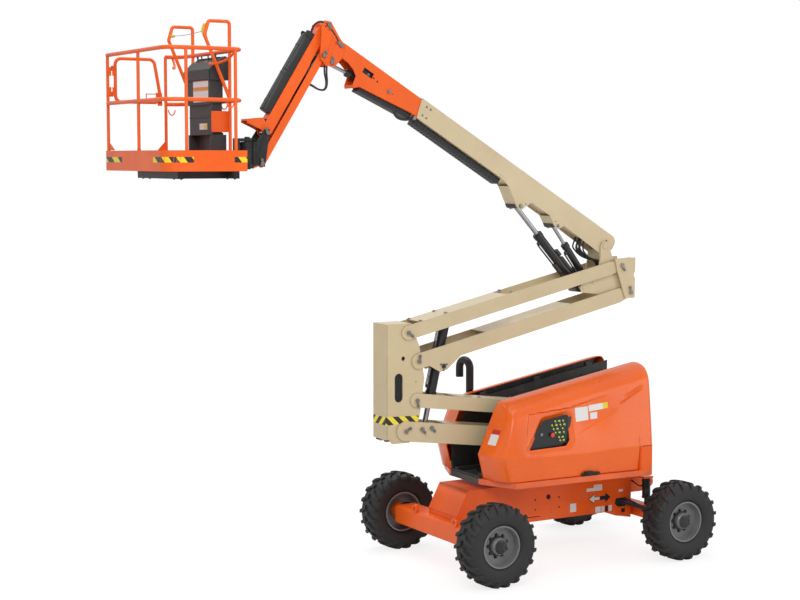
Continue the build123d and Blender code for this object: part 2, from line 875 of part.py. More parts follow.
upright += block(upright_front_x, upright_low_b[0] - 60, *across, upright_bottom, upright_bottom + plate)
upright += block(*back_web, *across, upright_low_a[1] + 120, upright_up_b[1] - 90)
for at in (upright_low_a, upright_low_b, upright_up_a, upright_up_b):
    upright += disc(at, pin_radius, -tower_link_half - 8, tower_link_half + 8)
    upright += discs(at, pin_head, tower_link_half + 0.5, 7.5)
slot_x = upright_front_x + 148
slot_low = upright_low_a[1] + 40
slot_high = slot_low + 200
slot = block(slot_x - 50, slot_x + 50, -200, 200, slot_low, slot_high)
slot += disc((slot_x, slot_low), 50, -200, 200) + disc((slot_x, slot_high), 50, -200, 200)
upright -= slot
upright -= disc((upright_front_x + 201, upright_up_b[1] + 37), 22, -200, 200)
save(upright, "tower_upright")


# ---------------------------------------------------------------- cylinders
def cylinder_barrel(base, head, inside, length, radius):
    """A barrel from inside short of base towards head, bored for its rod."""
    angle = heading(base, head)
    c = cos(radians(angle))
    s = sin(radians(angle))
    start = (base[0] + inside * c, 0, base[1] + inside * s)
    end = (base[0] + length * c, 0, base[1] + length * s)
    return bar(start, end, radius)


def rod_bore(base, head, start, stop, radius):
    """The space inside a barrel for its rod."""
    return cylinder_barrel(base, head, start, stop, radius)


def rod_with_eye(base, head, start, rod_radius, radius, half):
    """A rod that starts inside the barrel and ends in a plain eye on head."""
    reach = distance(base, head)
    return cylinder_barrel(base, head, start, reach - radius + 5, rod_radius) + disc(head, radius, -half, half)


rod_clearance = running_gap
tower_barrel = cylinder_barrel(trunnion_at, eye_home, -tower_barrel_up, tower_barrel_down, tower_barrel_radius)
tower_barrel += disc(trunnion_at, trunnion_radius, -tower_link_half - 8, tower_link_half + 8)
bore_from = -tower_barrel_up + 40
tower_bore = rod_bore(trunnion_at, eye_home, bore_from, tower_barrel_down + 1, tower_rod_radius + rod_clearance)
save(tower_barrel - tower_bore, "tower_cylinder_barrel")
tower_rod = rod_with_eye(trunnion_at, eye_home, -tower_barrel_up + 180, tower_rod_radius, eye_radius + 6, 40)
save(tower_rod, "tower_cylinder_rod")


def pinned_barrel(base, head, length, radius, rod_radius, eye, half, bore_start=90):
    """A barrel with an eye bored for the pin at its base."""
    angle = heading(base, head)
    shape = cylinder_barrel(base, head, eye - 8, length, radius) + disc(base, eye, -half, half)
    shape -= disc(base, cylinder_pin_radius + running_gap, -half - 1, half + 1)
    return shape - rod_bore(base, head, bore_start, length + 1, rod_radius + rod_clearance)


lift_head = along_boom(*lift_eye)
master_head = along_boom(*master_eye)
lift_sizes = (lift_barrel_length, lift_barrel_radius, lift_rod_radius, 46, 44)
master_sizes = (master_barrel_length, master_barrel_radius, master_rod_radius, 38, 36, 50)
save(pinned_barrel(lift_base, lift_head, *lift_sizes), "lift_cylinder_barrel")
save(rod_with_eye(lift_base, lift_head, 370, lift_rod_radius, eye_radius, 40), "lift_cylinder_rod")
save(pinned_barrel(master_base, master_head, *master_sizes), "master_cylinder_barrel")
save(rod_with_eye(master_base, master_head, 238, master_rod_radius, eye_radius - 4, 34), "master_cylinder_rod")

# ---------------------------------------------------------------- upper upright
plate_in = tower_link_half + link_gap
plate_out = 15
side_top = upper_a[1] + 70
outer_points = (
    (upper_a[0] - 92, side_top),
    (upper_b[0] + 60, side_top + 10),
    (upper_b[0] + 55, upper_b[1] - 64),
    (upper_b[0] - 73, upper_b[1] - 64),
    (upper_a[0] - 60, upper_a[1] - 60),
)
ear_points = (
    (boom_pin[0] - 55, boom_pin[1]),
    (boom_pin[0] - 30, boom_pin[1] + 48),
    (boom_pin[0] + 38, boom_pin[1] + 50),
    (boom_pin[0] + 100, boom_pin[1] - 120),
    (upper_a[0] + 55, upper_a[1] + 45),
    (upper_b[0] + 48, upper_b[1] - 42),
    (upper_b[0] - 60, upper_b[1] - 50),
    (lift_base[0] - 30, lift_base[1] - 50),
    (lift_base[0] - 48, lift_base[1] + 10),
    (lift_base[0] - 10, lift_base[1] + 52),
    (master_base[0] + 50, master_base[1] + 62),
    (boom_pin[0] - 58, boom_pin[1] - 110),
)
upper_upright = pair(outer_points, plate_in, plate_out) + pair(ear_points, ear_inner, ear_thickness)
for at in (upper_a, upper_b):
    upper_upright += disc(at, pin_radius, -plate_in - plate_out - 8, plate_in + plate_out + 8)
    upper_upright += discs(at, pin_head, plate_in + plate_out, 7)
ear_outer = ear_inner + ear_thickness
upper_upright += disc(boom_pin, boom_pin_radius, -ear_outer - 8, ear_outer + 8)
for at in (lift_base, master_base):
    upper_upright += disc(at, cylinder_pin_radius, -ear_outer - 6, ear_outer + 6)
web_x = upper_b[0] + 28
upper_upright += block(web_x, web_x + plate, -plate_in, plate_in, upper_b[1] + 66, upper_a[1] - 65)
upper_upright -= disc((web_x + 58, (upper_a[1] + upper_b[1]) / 2 + 40), 45, -plate_in - 60, plate_in + 60)
save(upper_upright, "upper_upright")

# ---------------------------------------------------------------- main boom
boom_side = (
    (-60, 0),
    (-109, 32),
    (-110, 137),
    (-5, 256),
    (27, 245),
    (master_eye[0] - 73, boom_skirt),
    (master_eye[0] - 28, master_eye[1] + 26),
    (master_eye[0] + 28, master_eye[1] + 26),
    (master_eye[0] + 147, boom_skirt),
    (lift_eye[0] - 105, boom_skirt),
    (lift_eye[0] - 32, lift_eye[1] + 30),
    (lift_eye[0] + 26, lift_eye[1] + 34),
    (lift_eye[0] + 239, boom_skirt),
    (lift_eye[0] + 330, boom_depth),
    (boom_length, boom_depth),
    (boom_length + 45, 0),
)
inner_half = boom_half - boom_wall
main_boom = pair([along_boom(*p) for p in boom_side], inner_half, boom_wall)


def boom_strip(a0, a1, d0, d1, half):
    """A strip across a boom section, given along and down."""
    return outline([along_boom(*p) for p in ((a0, d0), (a1, d0), (a1, d1), (a0, d1))], -half, half)


main_boom += boom_strip(-60, boom_length, 0, boom_wall, inner_half)
main_boom += boom_strip(120, boom_length, boom_depth - boom_wall, boom_depth, inner_half)
main_boom += disc(boom_pin, boom_pin_radius + 15, -boom_half, boom_half)
main_boom -= disc(boom_pin, boom_pin_radius + running_gap, -boom_half - 1, boom_half + 1)
pad = (boom_length - 130, boom_length - 10)
pad_low = fly_bottom + running_gap
main_boom += boom_strip(*pad, boom_wall, fly_top - running_gap, inner_half)
main_boom += boom_strip(*pad, pad_low, boom_depth - boom_wall, inner_half)
pad_points = [along_boom(*p) for p in ((pad[0], 60), (pad[1], 60), (pad[1], 140), (pad[0], 140))]
main_boom += pair(pad_points, fly_half + running_gap, inner_half - fly_half - running_gap)
main_boom += discs(lift_head, 24, boom_half, 7) + discs(master_head, 20, boom_half, 7)
save(main_boom, "main_boom")

track_start = lift_eye[0] + 345
boom_track = boom_strip(track_start, boom_length - 15, boom_depth, boom_depth + track_depth, track_half)
save(boom_track, "boom_hose_carrier")

# ---------------------------------------------------------------- fly section
fly_side = (
    (fly_tail, fly_top),
    (fly_tip_pin[0] - 30, fly_top),
    (fly_tip_pin[0] + 28, 20),
    (fly_tip_pin[0] + 42, fly_tip_pin[1]),
    (fly_tip_pin[0] + 10, fly_tip_pin[1] + 44),
    (fly_tip_pin[0] - 55, 140),
    (fly_tip_pin[0] - 160, 150),
    (fly_tip_pin[0] - 240, 175),
    (fly_tip_pin[0] - 300, 215),
    (fly_foot[0] + 12, fly_foot[1] - 20),
    (fly_foot[0] - 10, fly_foot[1]),
    (fly_deep[0], fly_deep[1]),
    (fly_taper_start, fly_bottom),
    (fly_tail, fly_bottom),
)
fly_inner = fly_half - 12
fly = pair([along_boom(*p) for p in fly_side], fly_inner, 12)
fly += boom_strip(fly_tail, fly_tip_pin[0] - 60, fly_top, fly_top + fly_wall, fly_inner)
fly += boom_strip(fly_tail, fly_taper_start, fly_bottom - fly_wall, fly_bottom, fly_inner)
fly += outline([along_boom(*p) for p in (
    (fly_taper_start, fly_bottom - fly_wall),
    (fly_taper_start, fly_bottom),
    fly_deep,
    (fly_deep[0], fly_deep[1] - fly_wall),
)], -fly_inner, fly_inner)
fly += disc(tip_pin, fly_tip_radius - 8, -fly_half, fly_half)
fly -= disc(tip_pin, pin_bore, -fly_half - 1, fly_half + 1)
slave_foot = along_boom(*slave_base)
fly += disc(slave_foot, cylinder_pin_radius, -fly_half, fly_half) + discs(slave_foot, 30, fly_half, 6)
window = (fly_deep[0] - 84, fly_deep[0] + 41, 90, 145)
fly -= boom_strip(*window, fly_half + 1)
tail_pad = (fly_tail + 10, fly_tail + fly_pad)
fly += boom_strip(*tail_pad, boom_wall + running_gap, fly_top, fly_inner)
fly += boom_strip(*tail_pad, fly_bottom, boom_depth - boom_wall - running_gap, fly_inner)
tail_side = ((tail_pad[0], 60), (tail_pad[1], 60), (tail_pad[1], 140), (tail_pad[0], 140))
tail_points = [along_boom(*p) for p in tail_side]
fly += pair(tail_points, fly_half, inner_half - fly_half - running_gap)
save(fly, "boom_fly")

taper = (fly_deep[1] - fly_bottom) / (fly_deep[0] - fly_taper_start)
fly_track_end = fly_deep[0] - 20
fly_track = outline([along_boom(*p) for p in (
    (boom_length + 50, fly_bottom + running_gap / 2),
    (fly_taper_start, fly_bottom + running_gap / 2),
    (fly_track_end, fly_deep[1] - 20 * taper + running_gap / 2),
    (fly_track_end, fly_deep[1] + 40),
    (fly_taper_start, fly_bottom + track_depth),
    (boom_length + 50, fly_bottom + track_depth),
)], -track_half, track_half)
save(fly_track - fly, "fly_hose_carrier")

# ---------------------------------------------------------------- jib upright and slave cylinder
jib_plate_in = fly_half + 6
jib_upright_points = (
    added(jib_pin, (-75, 5)),
    added(jib_pin, (-20, 38)),
    added(jib_pin, (25, 28)),
    added(tip_pin, (-8, 62)),
    added(tip_pin, (38, 12)),
    added(tip_pin, (20, -110)),
    added(slave_eye, (38, -38)),
    added(slave_eye, (-60, -36)),
    added(jib_low_pin, (-32, -30)),
    added(jib_low_pin, (-36, 20)),
)
jib_upright = pair(jib_upright_points, jib_plate_in, upright_plate)
jib_plate_out = jib_plate_in + upright_plate
jib_upright += disc(tip_pin, pin_radius, -jib_plate_out - 6, jib_plate_out + 6)
jib_upright += discs(slave_eye, cylinder_pin_radius, eye_lane, jib_plate_out + 6 - eye_lane)
for at, lane in ((jib_pin, jib_half), (jib_low_pin, jib_low_half)):
    jib_upright += disc(at, jib_pin_radius, -jib_plate_out - 6, jib_plate_out + 6)
    jib_upright += discs(at, jib_pin_radius + 14, lane + link_gap, jib_plate_in - lane - link_gap)
save(jib_upright, "jib_upright")

slave_sizes = (slave_barrel_length, slave_barrel_radius, slave_rod_radius, 38, 34)
slave_barrel = pinned_barrel(slave_foot, slave_eye, *slave_sizes)
save(slave_barrel, "slave_cylinder_barrel")
slave_rod = rod_with_eye(slave_foot, slave_eye, 245, slave_rod_radius, eye_radius, 28)
save(slave_rod, "slave_cylinder_rod")


# ---------------------------------------------------------------- jib arm, lower link and cylinder
def jib_frame(origin, points):
    """Points along the jib from origin, and up square to it, on the side away from the ground."""
    return [from_point(origin, 180 + jib_angle, ahead, -up) for ahead, up in points]


half_jib = jib_height / 2
arm_sides = (
    (-30, half_jib - 15),
    (60, half_jib),
    (jib_length - 40, half_jib),
    (jib_length + 35, 25),
    (jib_length + 35, -30),
    (jib_length - 20, -half_jib),
    (450, -half_jib),
    (380, jib_relief - half_jib),
    (20, jib_relief - half_jib),
    (-38, -20),
)
jib_arm = pair(jib_frame(jib_pin, arm_sides), jib_half - flange, flange)
web_end = jib_length - 120
web = ((60, half_jib - flange), (web_end, half_jib - flange), (web_end, half_jib), (60, half_jib))
jib_arm += outline(jib_frame(jib_pin, web), -jib_half, jib_half)
hood_plate = (
    added(jib_end_pin, (-205, 95)),
    added(jib_end_pin, (-198, 128)),
    added(jib_end_pin, (-35, 143)),
    added(jib_end_pin, (39, 37)),
    added(jib_end_pin, (10, -32)),
    added(jib_end_pin, (-60, 30)),
)
cap_in = jib_half
jib_arm += pair(hood_plate, cap_in, 10)
cap = (
    added(jib_end_pin, (-205, 110)),
    added(jib_end_pin, (-198, 128)),
    added(jib_end_pin, (-35, 143)),
    added(jib_end_pin, (-35, 131)),
)
jib_arm += outline(cap, -jib_half - 10, jib_half + 10)
jib_arm += disc(jib_pin, jib_pin_radius + 14, -jib_half, jib_half)
jib_arm -= disc(jib_pin, jib_pin_radius + running_gap, -jib_half - 1, jib_half + 1)
jib_arm -= disc(jib_end_pin, jib_pin_radius + running_gap, -jib_half - 20, jib_half + 20)
save(jib_arm, "jib_arm")
c0, c1 = carrier_span
carrier_low = half_jib + running_gap / 2
carrier_high = half_jib + carrier_height
carrier = ((c0, carrier_low), (c1, carrier_low), (c1, carrier_high), (c0, carrier_high))
save(outline(jib_frame(jib_pin, carrier), -carrier_half, carrier_half), "jib_hose_carrier")

half_low_jib = jib_low_height / 2
low_sides = ((0, half_low_jib), (jib_length, half_low_jib), (jib_length, -half_low_jib), (0, -half_low_jib))
jib_lower = pair(jib_frame(jib_low_pin, low_sides), jib_low_half - flange, flange)
for at in (jib_low_pin, jib_end_low):
    jib_lower += discs(at, half_low_jib, jib_low_half - flange, flange)
low_web = (
    (120, -half_low_jib),
    (web_end, -half_low_jib),
    (web_end, flange - half_low_jib),
    (120, flange - half_low_jib),
)
jib_lower += outline(jib_frame(jib_low_pin, low_web), -jib_low_half, jib_low_half)
for at in (jib_low_pin, jib_end_low):
    jib_lower -= disc(at, jib_pin_radius + running_gap, -jib_low_half - 1, jib_low_half + 1)
save(jib_lower, "jib_lower_link")

jib_barrel = cylinder_barrel(jib_low_pin, jib_end_pin, 20, jib_barrel_length, jib_barrel_radius)
jib_barrel += disc(jib_low_pin, 28, -34, 34)
jib_barrel -= disc(jib_low_pin, jib_pin_radius + running_gap, -40, 40)
jib_barrel -= rod_bore(jib_low_pin, jib_end_pin, 90, jib_barrel_length + 1, jib_rod_radius + rod_clearance)
save(jib_barrel, "jib_cylinder_barrel")
jib_rod = rod_with_eye(jib_low_pin, jib_end_pin, 140, jib_rod_radius, 28, 30)
save(jib_rod, "jib_cylinder_rod")

# ---------------------------------------------------------------- jib end casting
casting_points = (
    added(jib_end_pin, (28, 30)),
    added(jib_end_pin, (-25, 32)),
    (rotator_x + casting_step, rotator_top),
    (rotator_x + 20, rotator_top),
    (rotator_x + 20, rotator_bottom),
    (rotator_x + casting_step, rotator_bottom),
    added(jib_end_low, (30, -30)),
    added(jib_end_low, (36, 10)),
)
casting = pair(casting_points, casting_inner, casting_plate)
housing = upright_bar(rotator_x, 0, rotator_radius, rotator_bottom, rotator_top)
casting += housing
casting += block(
    rotator_x, rotator_x + rotator_radius - 12,
    -casting_inner, casting_inner,
    rotator_bottom, rotator_top,
)
casting_outer = casting_inner + casting_plate + 6
casting += discs(jib_end_pin, jib_pin_radius, eye_lane, casting_outer - eye_lane)
casting += disc(jib_end_low, jib_pin_radius, -casting_outer, casting_outer)
for at, lane in ((jib_end_pin, jib_half + 10), (jib_end_low, jib_low_half)):
    if casting_inner - lane - link_gap > 1:
        casting += discs(at, jib_pin_radius + 12, lane + link_gap, casting_inner - lane - link_gap)
casting -= upright_bar(rotator_x, 0, rotator_shaft + running_gap, rotator_bottom - 1, rotator_top + 1)
save(casting, "jib_end_casting")

# ---------------------------------------------------------------- platform support
yoke_x = rotator_x - rotator_radius - 20
high_z0 = rotator_top + link_gap
high_z1 = high_z0 + yoke_plate
top_plate = block(yoke_x - yoke_plate, rotator_x, -yoke_half, yoke_half, high_z0, high_z1)
top_plate += upright_bar(rotator_x, 0, rotator_radius - 15, high_z0, high_z1)
low_z1 = rotator_bottom - link_gap
low_z0 = low_z1 - yoke_plate
low_plate = block(yoke_x - yoke_plate, rotator_x, -yoke_half, yoke_half, low_z0, low_z1)
low_plate += upright_bar(rotator_x, 0, rotator_radius - 15, low_z0, low_z1)
post = block(yoke_x - yoke_plate, yoke_x, -yoke_half, yoke_half, low_z0, high_z1)
frame_top = platform_bottom - running_gap
frame_low = frame_top - 70
arm_out = block(platform_rear_x, yoke_x, -yoke_half, yoke_half, low_z0, low_z1)
drop = block(platform_rear_x, platform_rear_x + 40, -yoke_half, yoke_half, frame_low, low_z1)
shaft = upright_bar(rotator_x, 0, rotator_shaft, low_z0 - 8, high_z1 + 8)
support = top_plate + low_plate + post + arm_out + drop + shaft
for y in (-300, 300):
    support += block(platform_front_x + 220, platform_rear_x + 40, y - 30, y + 30, frame_low, frame_top)
support += block(platform_rear_x - 20, platform_rear_x + 40, -500, 500, frame_low, frame_top)
support += block(platform_front_x + 220, platform_front_x + 280, -500, 500, frame_low, frame_top)
save(support, "platform_support")


# ---------------------------------------------------------------- platform
def platform_plan(inset):
    """The floor's plan: square at three corners and round at the front right one."""
    x0 = platform_front_x + inset
    x1 = platform_rear_x - inset
    y0 = -platform_half + inset
    y1 = platform_half - inset
    r = corner_radius - inset
    k = r * (1 - cos(radians(45)))
    return (
        Polyline((x0, y0 + r), (x0, y1), (x1, y1), (x1, y0), (x0 + r, y0))
        + ThreePointArc((x0 + r, y0), (x0 + k, y0 + k), (x0, y0 + r))
    )


floor = plan(platform_plan(0), platform_bottom, platform_bottom + floor_thickness)
kick = plan(platform_plan(0), platform_bottom + floor_thickness, platform_bottom + kick_height)
kick -= plan(platform_plan(kick_thickness), platform_bottom, platform_bottom + kick_height + 1)
kick -= block(
    gate_hinge_x - 20, latch_post_x - rail_radius,
    platform_half - 20, platform_half + 5,
    platform_bottom + 60, platform_bottom + kick_height + 5,
)
save(floor + kick, "platform_floor")

rail_in = rail_radius + 1
x_out = platform_front_x + rail_in
x_in = platform_rear_x - rail_in
y_out = platform_half - rail_in
post_foot = platform_bottom + floor_thickness + running_gap


def rail(z):
    """A rail round three sides, open where the gate is."""
    near = -y_out
    return tube((
        (x_out, y_out, z),
        (x_out, near, z),
        (x_in, near, z),
        (x_in, y_out, z),
        (latch_post_x, y_out, z),
    ), rail_radius, corner_radius - rail_in)


posts = [(x_out, y_out), (x_out, post_mid_y), (latch_post_x, y_out)]
posts += [(x, -y_out) for x in near_posts]
posts += [(x_in, y) for y in (-guard_half, guard_half)]
frame_shape = rail(top_rail_z) + rail(mid_rail_z)
for x, y in posts:
    frame_shape += upright_bar(x, y, rail_radius - 4, post_foot, top_rail_z)
hinge_pin_y = y_out
for z in (gate_bottom + 90, gate_top - 110):
    frame_shape += block(x_out, gate_hinge_x, hinge_pin_y - 5, hinge_pin_y + 5, z - 25, z - 15)
    frame_shape += upright_bar(gate_hinge_x, hinge_pin_y, 7, z - 25, z + 25)

def guard_loop(y):
    """A raised guard tube: up from the mid rail, forward, over and back to a rear post."""
    low = (x_in, y, mid_rail_z + rail_radius)
    return tube((
        low,
        (guard_front_x, y, guard_top - 130),
        (guard_front_x + 40, y, guard_top),
        (x_in, y, guard_top),
        (x_in, y, top_rail_z),
    ), rail_radius - 3, 30)


save(frame_shape + guard_loop(-guard_half) + guard_loop(guard_half), "platform_rails")

# ---------------------------------------------------------------- gate
gate_end = latch_post_x - rail_radius - 12
gate_points = (
    (gate_hinge_x + 30, y_out, gate_bottom + gate_tube),
    (gate_hinge_x + 30, y_out, gate_top - gate_tube),
    (gate_end - 90, y_out, gate_top - gate_tube),
    (gate_end - gate_tube, y_out, gate_bottom + gate_tube),
)
gate_loop = FilletPolyline(*gate_points, radius=60, close=True)
gate = sweep(Plane(origin=gate_loop @ 0, z_dir=gate_loop % 0) * Circle(gate_tube), path=gate_loop)
for z in (gate_bottom + 90, gate_top - 110):
    knuckle_part = block(gate_hinge_x, gate_hinge_x + 30, hinge_pin_y - 5, hinge_pin_y + 5, z - 14, z + 20)
    knuckle_part += upright_bar(gate_hinge_x, hinge_pin_y, 12, z - 14, z + 20)
    gate += knuckle_part - upright_bar(gate_hinge_x, hinge_pin_y, 7 + running_gap, z - 30, z + 30)
gate += block(gate_end - 70, gate_end - 10, y_out - 6, y_out + 6, gate_bottom + 20, gate_bottom + 110)
save(gate, "platform_gate")

# ---------------------------------------------------------------- platform console
cx0, cx1 = console_x
cy0, cy1 = console_y
console_foot = platform_bottom + floor_thickness + running_gap
console_back = x_in - rail_radius - 6
console = block(cx0 + 20, console_back - 20, cy0 + 40, cy1 - 40, console_low_z, console_waist_z)
console += block(cx0, console_back - 20, cy0 + 20, cy1, console_waist_z, console_sill_z + 5)
console += outline((
    (cx0 - 6, console_sill_z),
    (cx0 - 14, console_front_z),
    (cx0 + 60, console_top_z - 45),
    (cx1 - 50, console_top_z),
    (cx1, console_top_z - 25),
    (cx1, console_sill_z),
), cy0, cy1)
console += block(console_back - 60, console_back, cy0 + 60, cy1 - 60, console_foot, console_low_z + 20)
save(console, "platform_console")
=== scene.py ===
import bpy
import bmesh
import math
import numpy
from mathutils import Matrix, Vector


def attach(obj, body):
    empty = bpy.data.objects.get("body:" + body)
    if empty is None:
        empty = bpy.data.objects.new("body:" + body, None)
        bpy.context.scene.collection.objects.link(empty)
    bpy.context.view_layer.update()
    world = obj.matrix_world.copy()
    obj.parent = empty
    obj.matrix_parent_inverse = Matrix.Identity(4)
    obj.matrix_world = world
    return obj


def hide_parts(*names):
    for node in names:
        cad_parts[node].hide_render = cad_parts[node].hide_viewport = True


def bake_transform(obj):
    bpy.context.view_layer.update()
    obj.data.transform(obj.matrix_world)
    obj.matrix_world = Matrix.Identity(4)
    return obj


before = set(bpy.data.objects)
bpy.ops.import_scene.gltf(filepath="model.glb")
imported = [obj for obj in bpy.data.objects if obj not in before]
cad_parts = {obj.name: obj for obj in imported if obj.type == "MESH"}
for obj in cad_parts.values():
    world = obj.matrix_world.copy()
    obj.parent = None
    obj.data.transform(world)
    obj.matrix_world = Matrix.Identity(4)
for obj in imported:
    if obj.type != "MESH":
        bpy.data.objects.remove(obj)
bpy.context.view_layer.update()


# ---------------------------------------------------------------- chassis and axles
# A welded steel frame with a rear axle box and a pivoting steering axle. It is painted orange after
# welding, so the paint runs over the welds and into the corners.
class Shade:
    """One shader value. Arithmetic on it adds Math nodes, and make() adds any other node."""

    def __init__(self, tree, socket=None):
        self.tree = tree
        self.socket = socket

    def make(self, kind, settings=None, inputs=None, output=0):
        node = self.tree.nodes.new("ShaderNode" + kind)
        for name, value in (settings or {}).items():
            if name == "stops":
                stops = node.color_ramp.elements
                for index, (place, colour) in enumerate(value):
                    stop = stops[index] if index < 2 else stops.new(place)
                    stop.position = place
                    stop.color = colour
            else:
                setattr(node, name, value)
        for name, value in (inputs or {}).items():
            if isinstance(value, Shade):
                self.tree.links.new(value.socket, node.inputs[name])
            else:
                node.inputs[name].default_value = value
        return Shade(self.tree, node.outputs[output])

    def math(self, operation, first, second=0.0, third=0.0):
        return self.make("Math", {"operation": operation}, {0: first, 1: second, 2: third})

    def __add__(self, other):
        return self.math("ADD", self, other)

    def __radd__(self, other):
        return self.math("ADD", other, self)

    def __sub__(self, other):
        return self.math("SUBTRACT", self, other)

    def __rsub__(self, other):
        return self.math("SUBTRACT", other, self)

    def __mul__(self, other):
        return self.math("MULTIPLY", self, other)

    def __rmul__(self, other):
        return self.math("MULTIPLY", other, self)

    def __truediv__(self, other):
        return self.math("DIVIDE", self, other)

    def __gt__(self, other):
        return self.math("GREATER_THAN", self, other)

    def __lt__(self, other):
        return self.math("LESS_THAN", self, other)

    def mix(self, first, second):
        """The first colour where this value is 0, and the second where it is 1."""
        return self.make("Mix", {"data_type": "RGBA"}, {0: self, 6: first, 7: second}, 2)

    def noise(self, scale, detail=3.0, rough=0.5, where=None):
        inputs = {"Scale": scale, "Detail": detail, "Roughness": rough}
        if where:
            inputs["Vector"] = where
        return self.make("TexNoise", None, inputs)

    def band(self, low, high):
        """0 below low, 1 above high, and a straight rise between them."""
        return self.make("MapRange", None, {"Value": self, "From Min": low, "From Max": high})


def new_material(name):
    """An empty Principled material, as (material, shade, principled node, object coordinates)."""
    material = bpy.data.materials.new(name)
    material.use_nodes = True
    shade = Shade(material.node_tree)
    surface = material.node_tree.nodes["Principled BSDF"]
    place = shade.make("TexCoord", None, None, 3)
    return material, shade, surface, place


def join(shade, surface, links):
    for name, value in links.items():
        shade.tree.links.new(value.socket, surface.inputs[name])


def paint(name, colour, shadow, roughness=0.36, coat=0.06, edge=0.003, dust=0.10):
    """Enamel on steel: a little orange peel, slow colour drift, dust in low places and softened edges."""
    material, shade, surface, place = new_material(name)
    drift = shade.noise(1.7, 4.0, 0.55, place)
    grime = shade.noise(9.0, 6.0, 0.65, place).band(0.52, 0.78)
    height = place.make("SeparateXYZ", None, {0: place}, 2)
    low = 1.0 - height.band(0.25, 1.1)
    base = drift.band(0.35, 0.7).mix(colour, shadow)
    dusty = (grime * dust + low * grime * 0.16).mix(base, (0.33, 0.27, 0.20, 1))
    peel = shade.noise(420.0, 2.0, 0.5, place)
    waves = shade.noise(14.0, 2.0, 0.5, place)
    rounded = shade.make("Bevel", {"samples": 4}, {"Radius": edge})
    bumped = shade.make(
        "Bump", None, {"Strength": 0.06, "Distance": 0.002, "Height": peel + waves * 2.0, "Normal": rounded}
    )
    rough = grime * 0.18 + drift * 0.08 + (roughness - 0.05)
    join(shade, surface, {"Base Color": dusty, "Roughness": rough, "Normal": bumped})
    surface.inputs["Specular IOR Level"].default_value = 0.28
    surface.inputs["Coat Weight"].default_value = coat
    surface.inputs["Coat Roughness"].default_value = 0.18
    return material


def dress(material, *nodes):
    """Gives CAD nodes a material."""
    for name in nodes:
        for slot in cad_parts[name].material_slots:
            slot.material = material


orange = (0.86, 0.122, 0.010, 1)
orange_shadow = (0.76, 0.102, 0.009, 1)
orange_paint = paint("orange_enamel", orange, orange_shadow)
dress(orange_paint, "chassis_frame", "rear_axle", "front_axle")
black_paint = paint("black_enamel", (0.009, 0.009, 0.010, 1), (0.015, 0.015, 0.016, 1), 0.46, 0.08)
dress(black_paint, "lockout_cylinders", "knuckle_left", "knuckle_right")
grey_paint = paint("grey_enamel", (0.045, 0.046, 0.048, 1), (0.035, 0.035, 0.037, 1), 0.45, 0.1)
dress(
    grey_paint, "swing_bearing", "turntable_base", "trough_walls", "engine_block", "fluid_tank",
    "ground_control_box"
)

class Piece:
    """One object put together in mesh code from prisms, bars and turned forms."""

    def __init__(self, name):
        self.name = name
        self.mesh = bmesh.new()

    def loft(self, rings, capped=True):
        """Joins rings of points that have the same count, and caps both ends."""
        rows = [[self.mesh.verts.new(point) for point in ring] for ring in rings]
        count = len(rows[0])
        for lower, upper in zip(rows, rows[1:]):
            for index in range(count):
                after = (index + 1) % count
                self.mesh.faces.new((lower[index], lower[after], upper[after], upper[index]))
        if capped:
            self.mesh.faces.new(rows[0][::-1])
            self.mesh.faces.new(rows[-1])
        return self

    def prism(self, outline, low, high, axis="Y"):
        """An outline in the two other axes, from low to high along axis."""
        order = {
            "X": lambda a, b, c: (c, a, b), "Y": lambda a, b, c: (a, c, b), "Z": lambda a, b, c: (a, b, c)
        }[axis]
        return self.loft([[order(a, b, low) for a, b in outline], [order(a, b, high) for a, b in outline]])

    def box(self, low, high):
        outline = ((low[0], low[1]), (high[0], low[1]), (high[0], high[1]), (low[0], high[1]))
        return self.prism(outline, low[2], high[2], "Z")

    def bar(self, start, end, radius, end_radius=None, sides=20):
        """A round bar or cone between two points."""
        start = Vector(start)
        turn = (Vector(end) - start).to_track_quat("Z", "Y")
        rings = []
        for place, size in ((start, radius), (Vector(end), end_radius or radius)):
            angles = [2 * math.pi * index / sides for index in range(sides)]
            rings.append([place + turn @ Vector((size * math.cos(a), size * math.sin(a), 0)) for a in angles])
        return self.loft(rings)

    def turned(self, profile, centre, axis="Y", sides=64):
        """A closed profile of (radius, along), turned about an axis through centre."""
        spin = {"X": lambda r, h, a: (h, r * math.cos(a), r * math.sin(a)),
                "Y": lambda r, h, a: (r * math.cos(a), h, r * math.sin(a)),
                "Z": lambda r, h, a: (r * math.cos(a), r * math.sin(a), h)}[axis]
        rows = []
        for index in range(sides):
            angle = 2 * math.pi * index / sides
            rows.append([self.mesh.verts.new(Vector(centre) + Vector(spin(r, h, angle))) for r, h in profile])
        for index in range(sides):
            here, there = rows[index], rows[(index + 1) % sides]
            for place in range(len(profile)):
                after = (place + 1) % len(profile)
                self.mesh.faces.new((here[place], here[after], there[after], there[place]))
        return self

    def place(self, material, body, bevel=0.0, angle=35, slot=None, segments=2):
        """Turns the mesh into an object with a material, on a body."""
        bmesh.ops.recalc_face_normals(self.mesh, faces=self.mesh.faces)
        data = bpy.data.meshes.new(self.name)
        self.mesh.to_mesh(data)
        self.mesh.free()
        data.polygons.foreach_set("use_smooth", [True] * len(data.polygons))
        data.set_sharp_from_angle(angle=math.radians(angle))
        data.materials.append(material)
        thing = bpy.data.objects.new(self.name, data)
        bpy.context.collection.objects.link(thing)
        if bevel:
            soften = thing.modifiers.new("bevel", "BEVEL")
            soften.width = bevel
            soften.segments = segments
            soften.limit_method = "ANGLE"
            soften.angle_limit = math.radians(angle)
            soften.harden_normals = True
        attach(thing, body)
        return thing


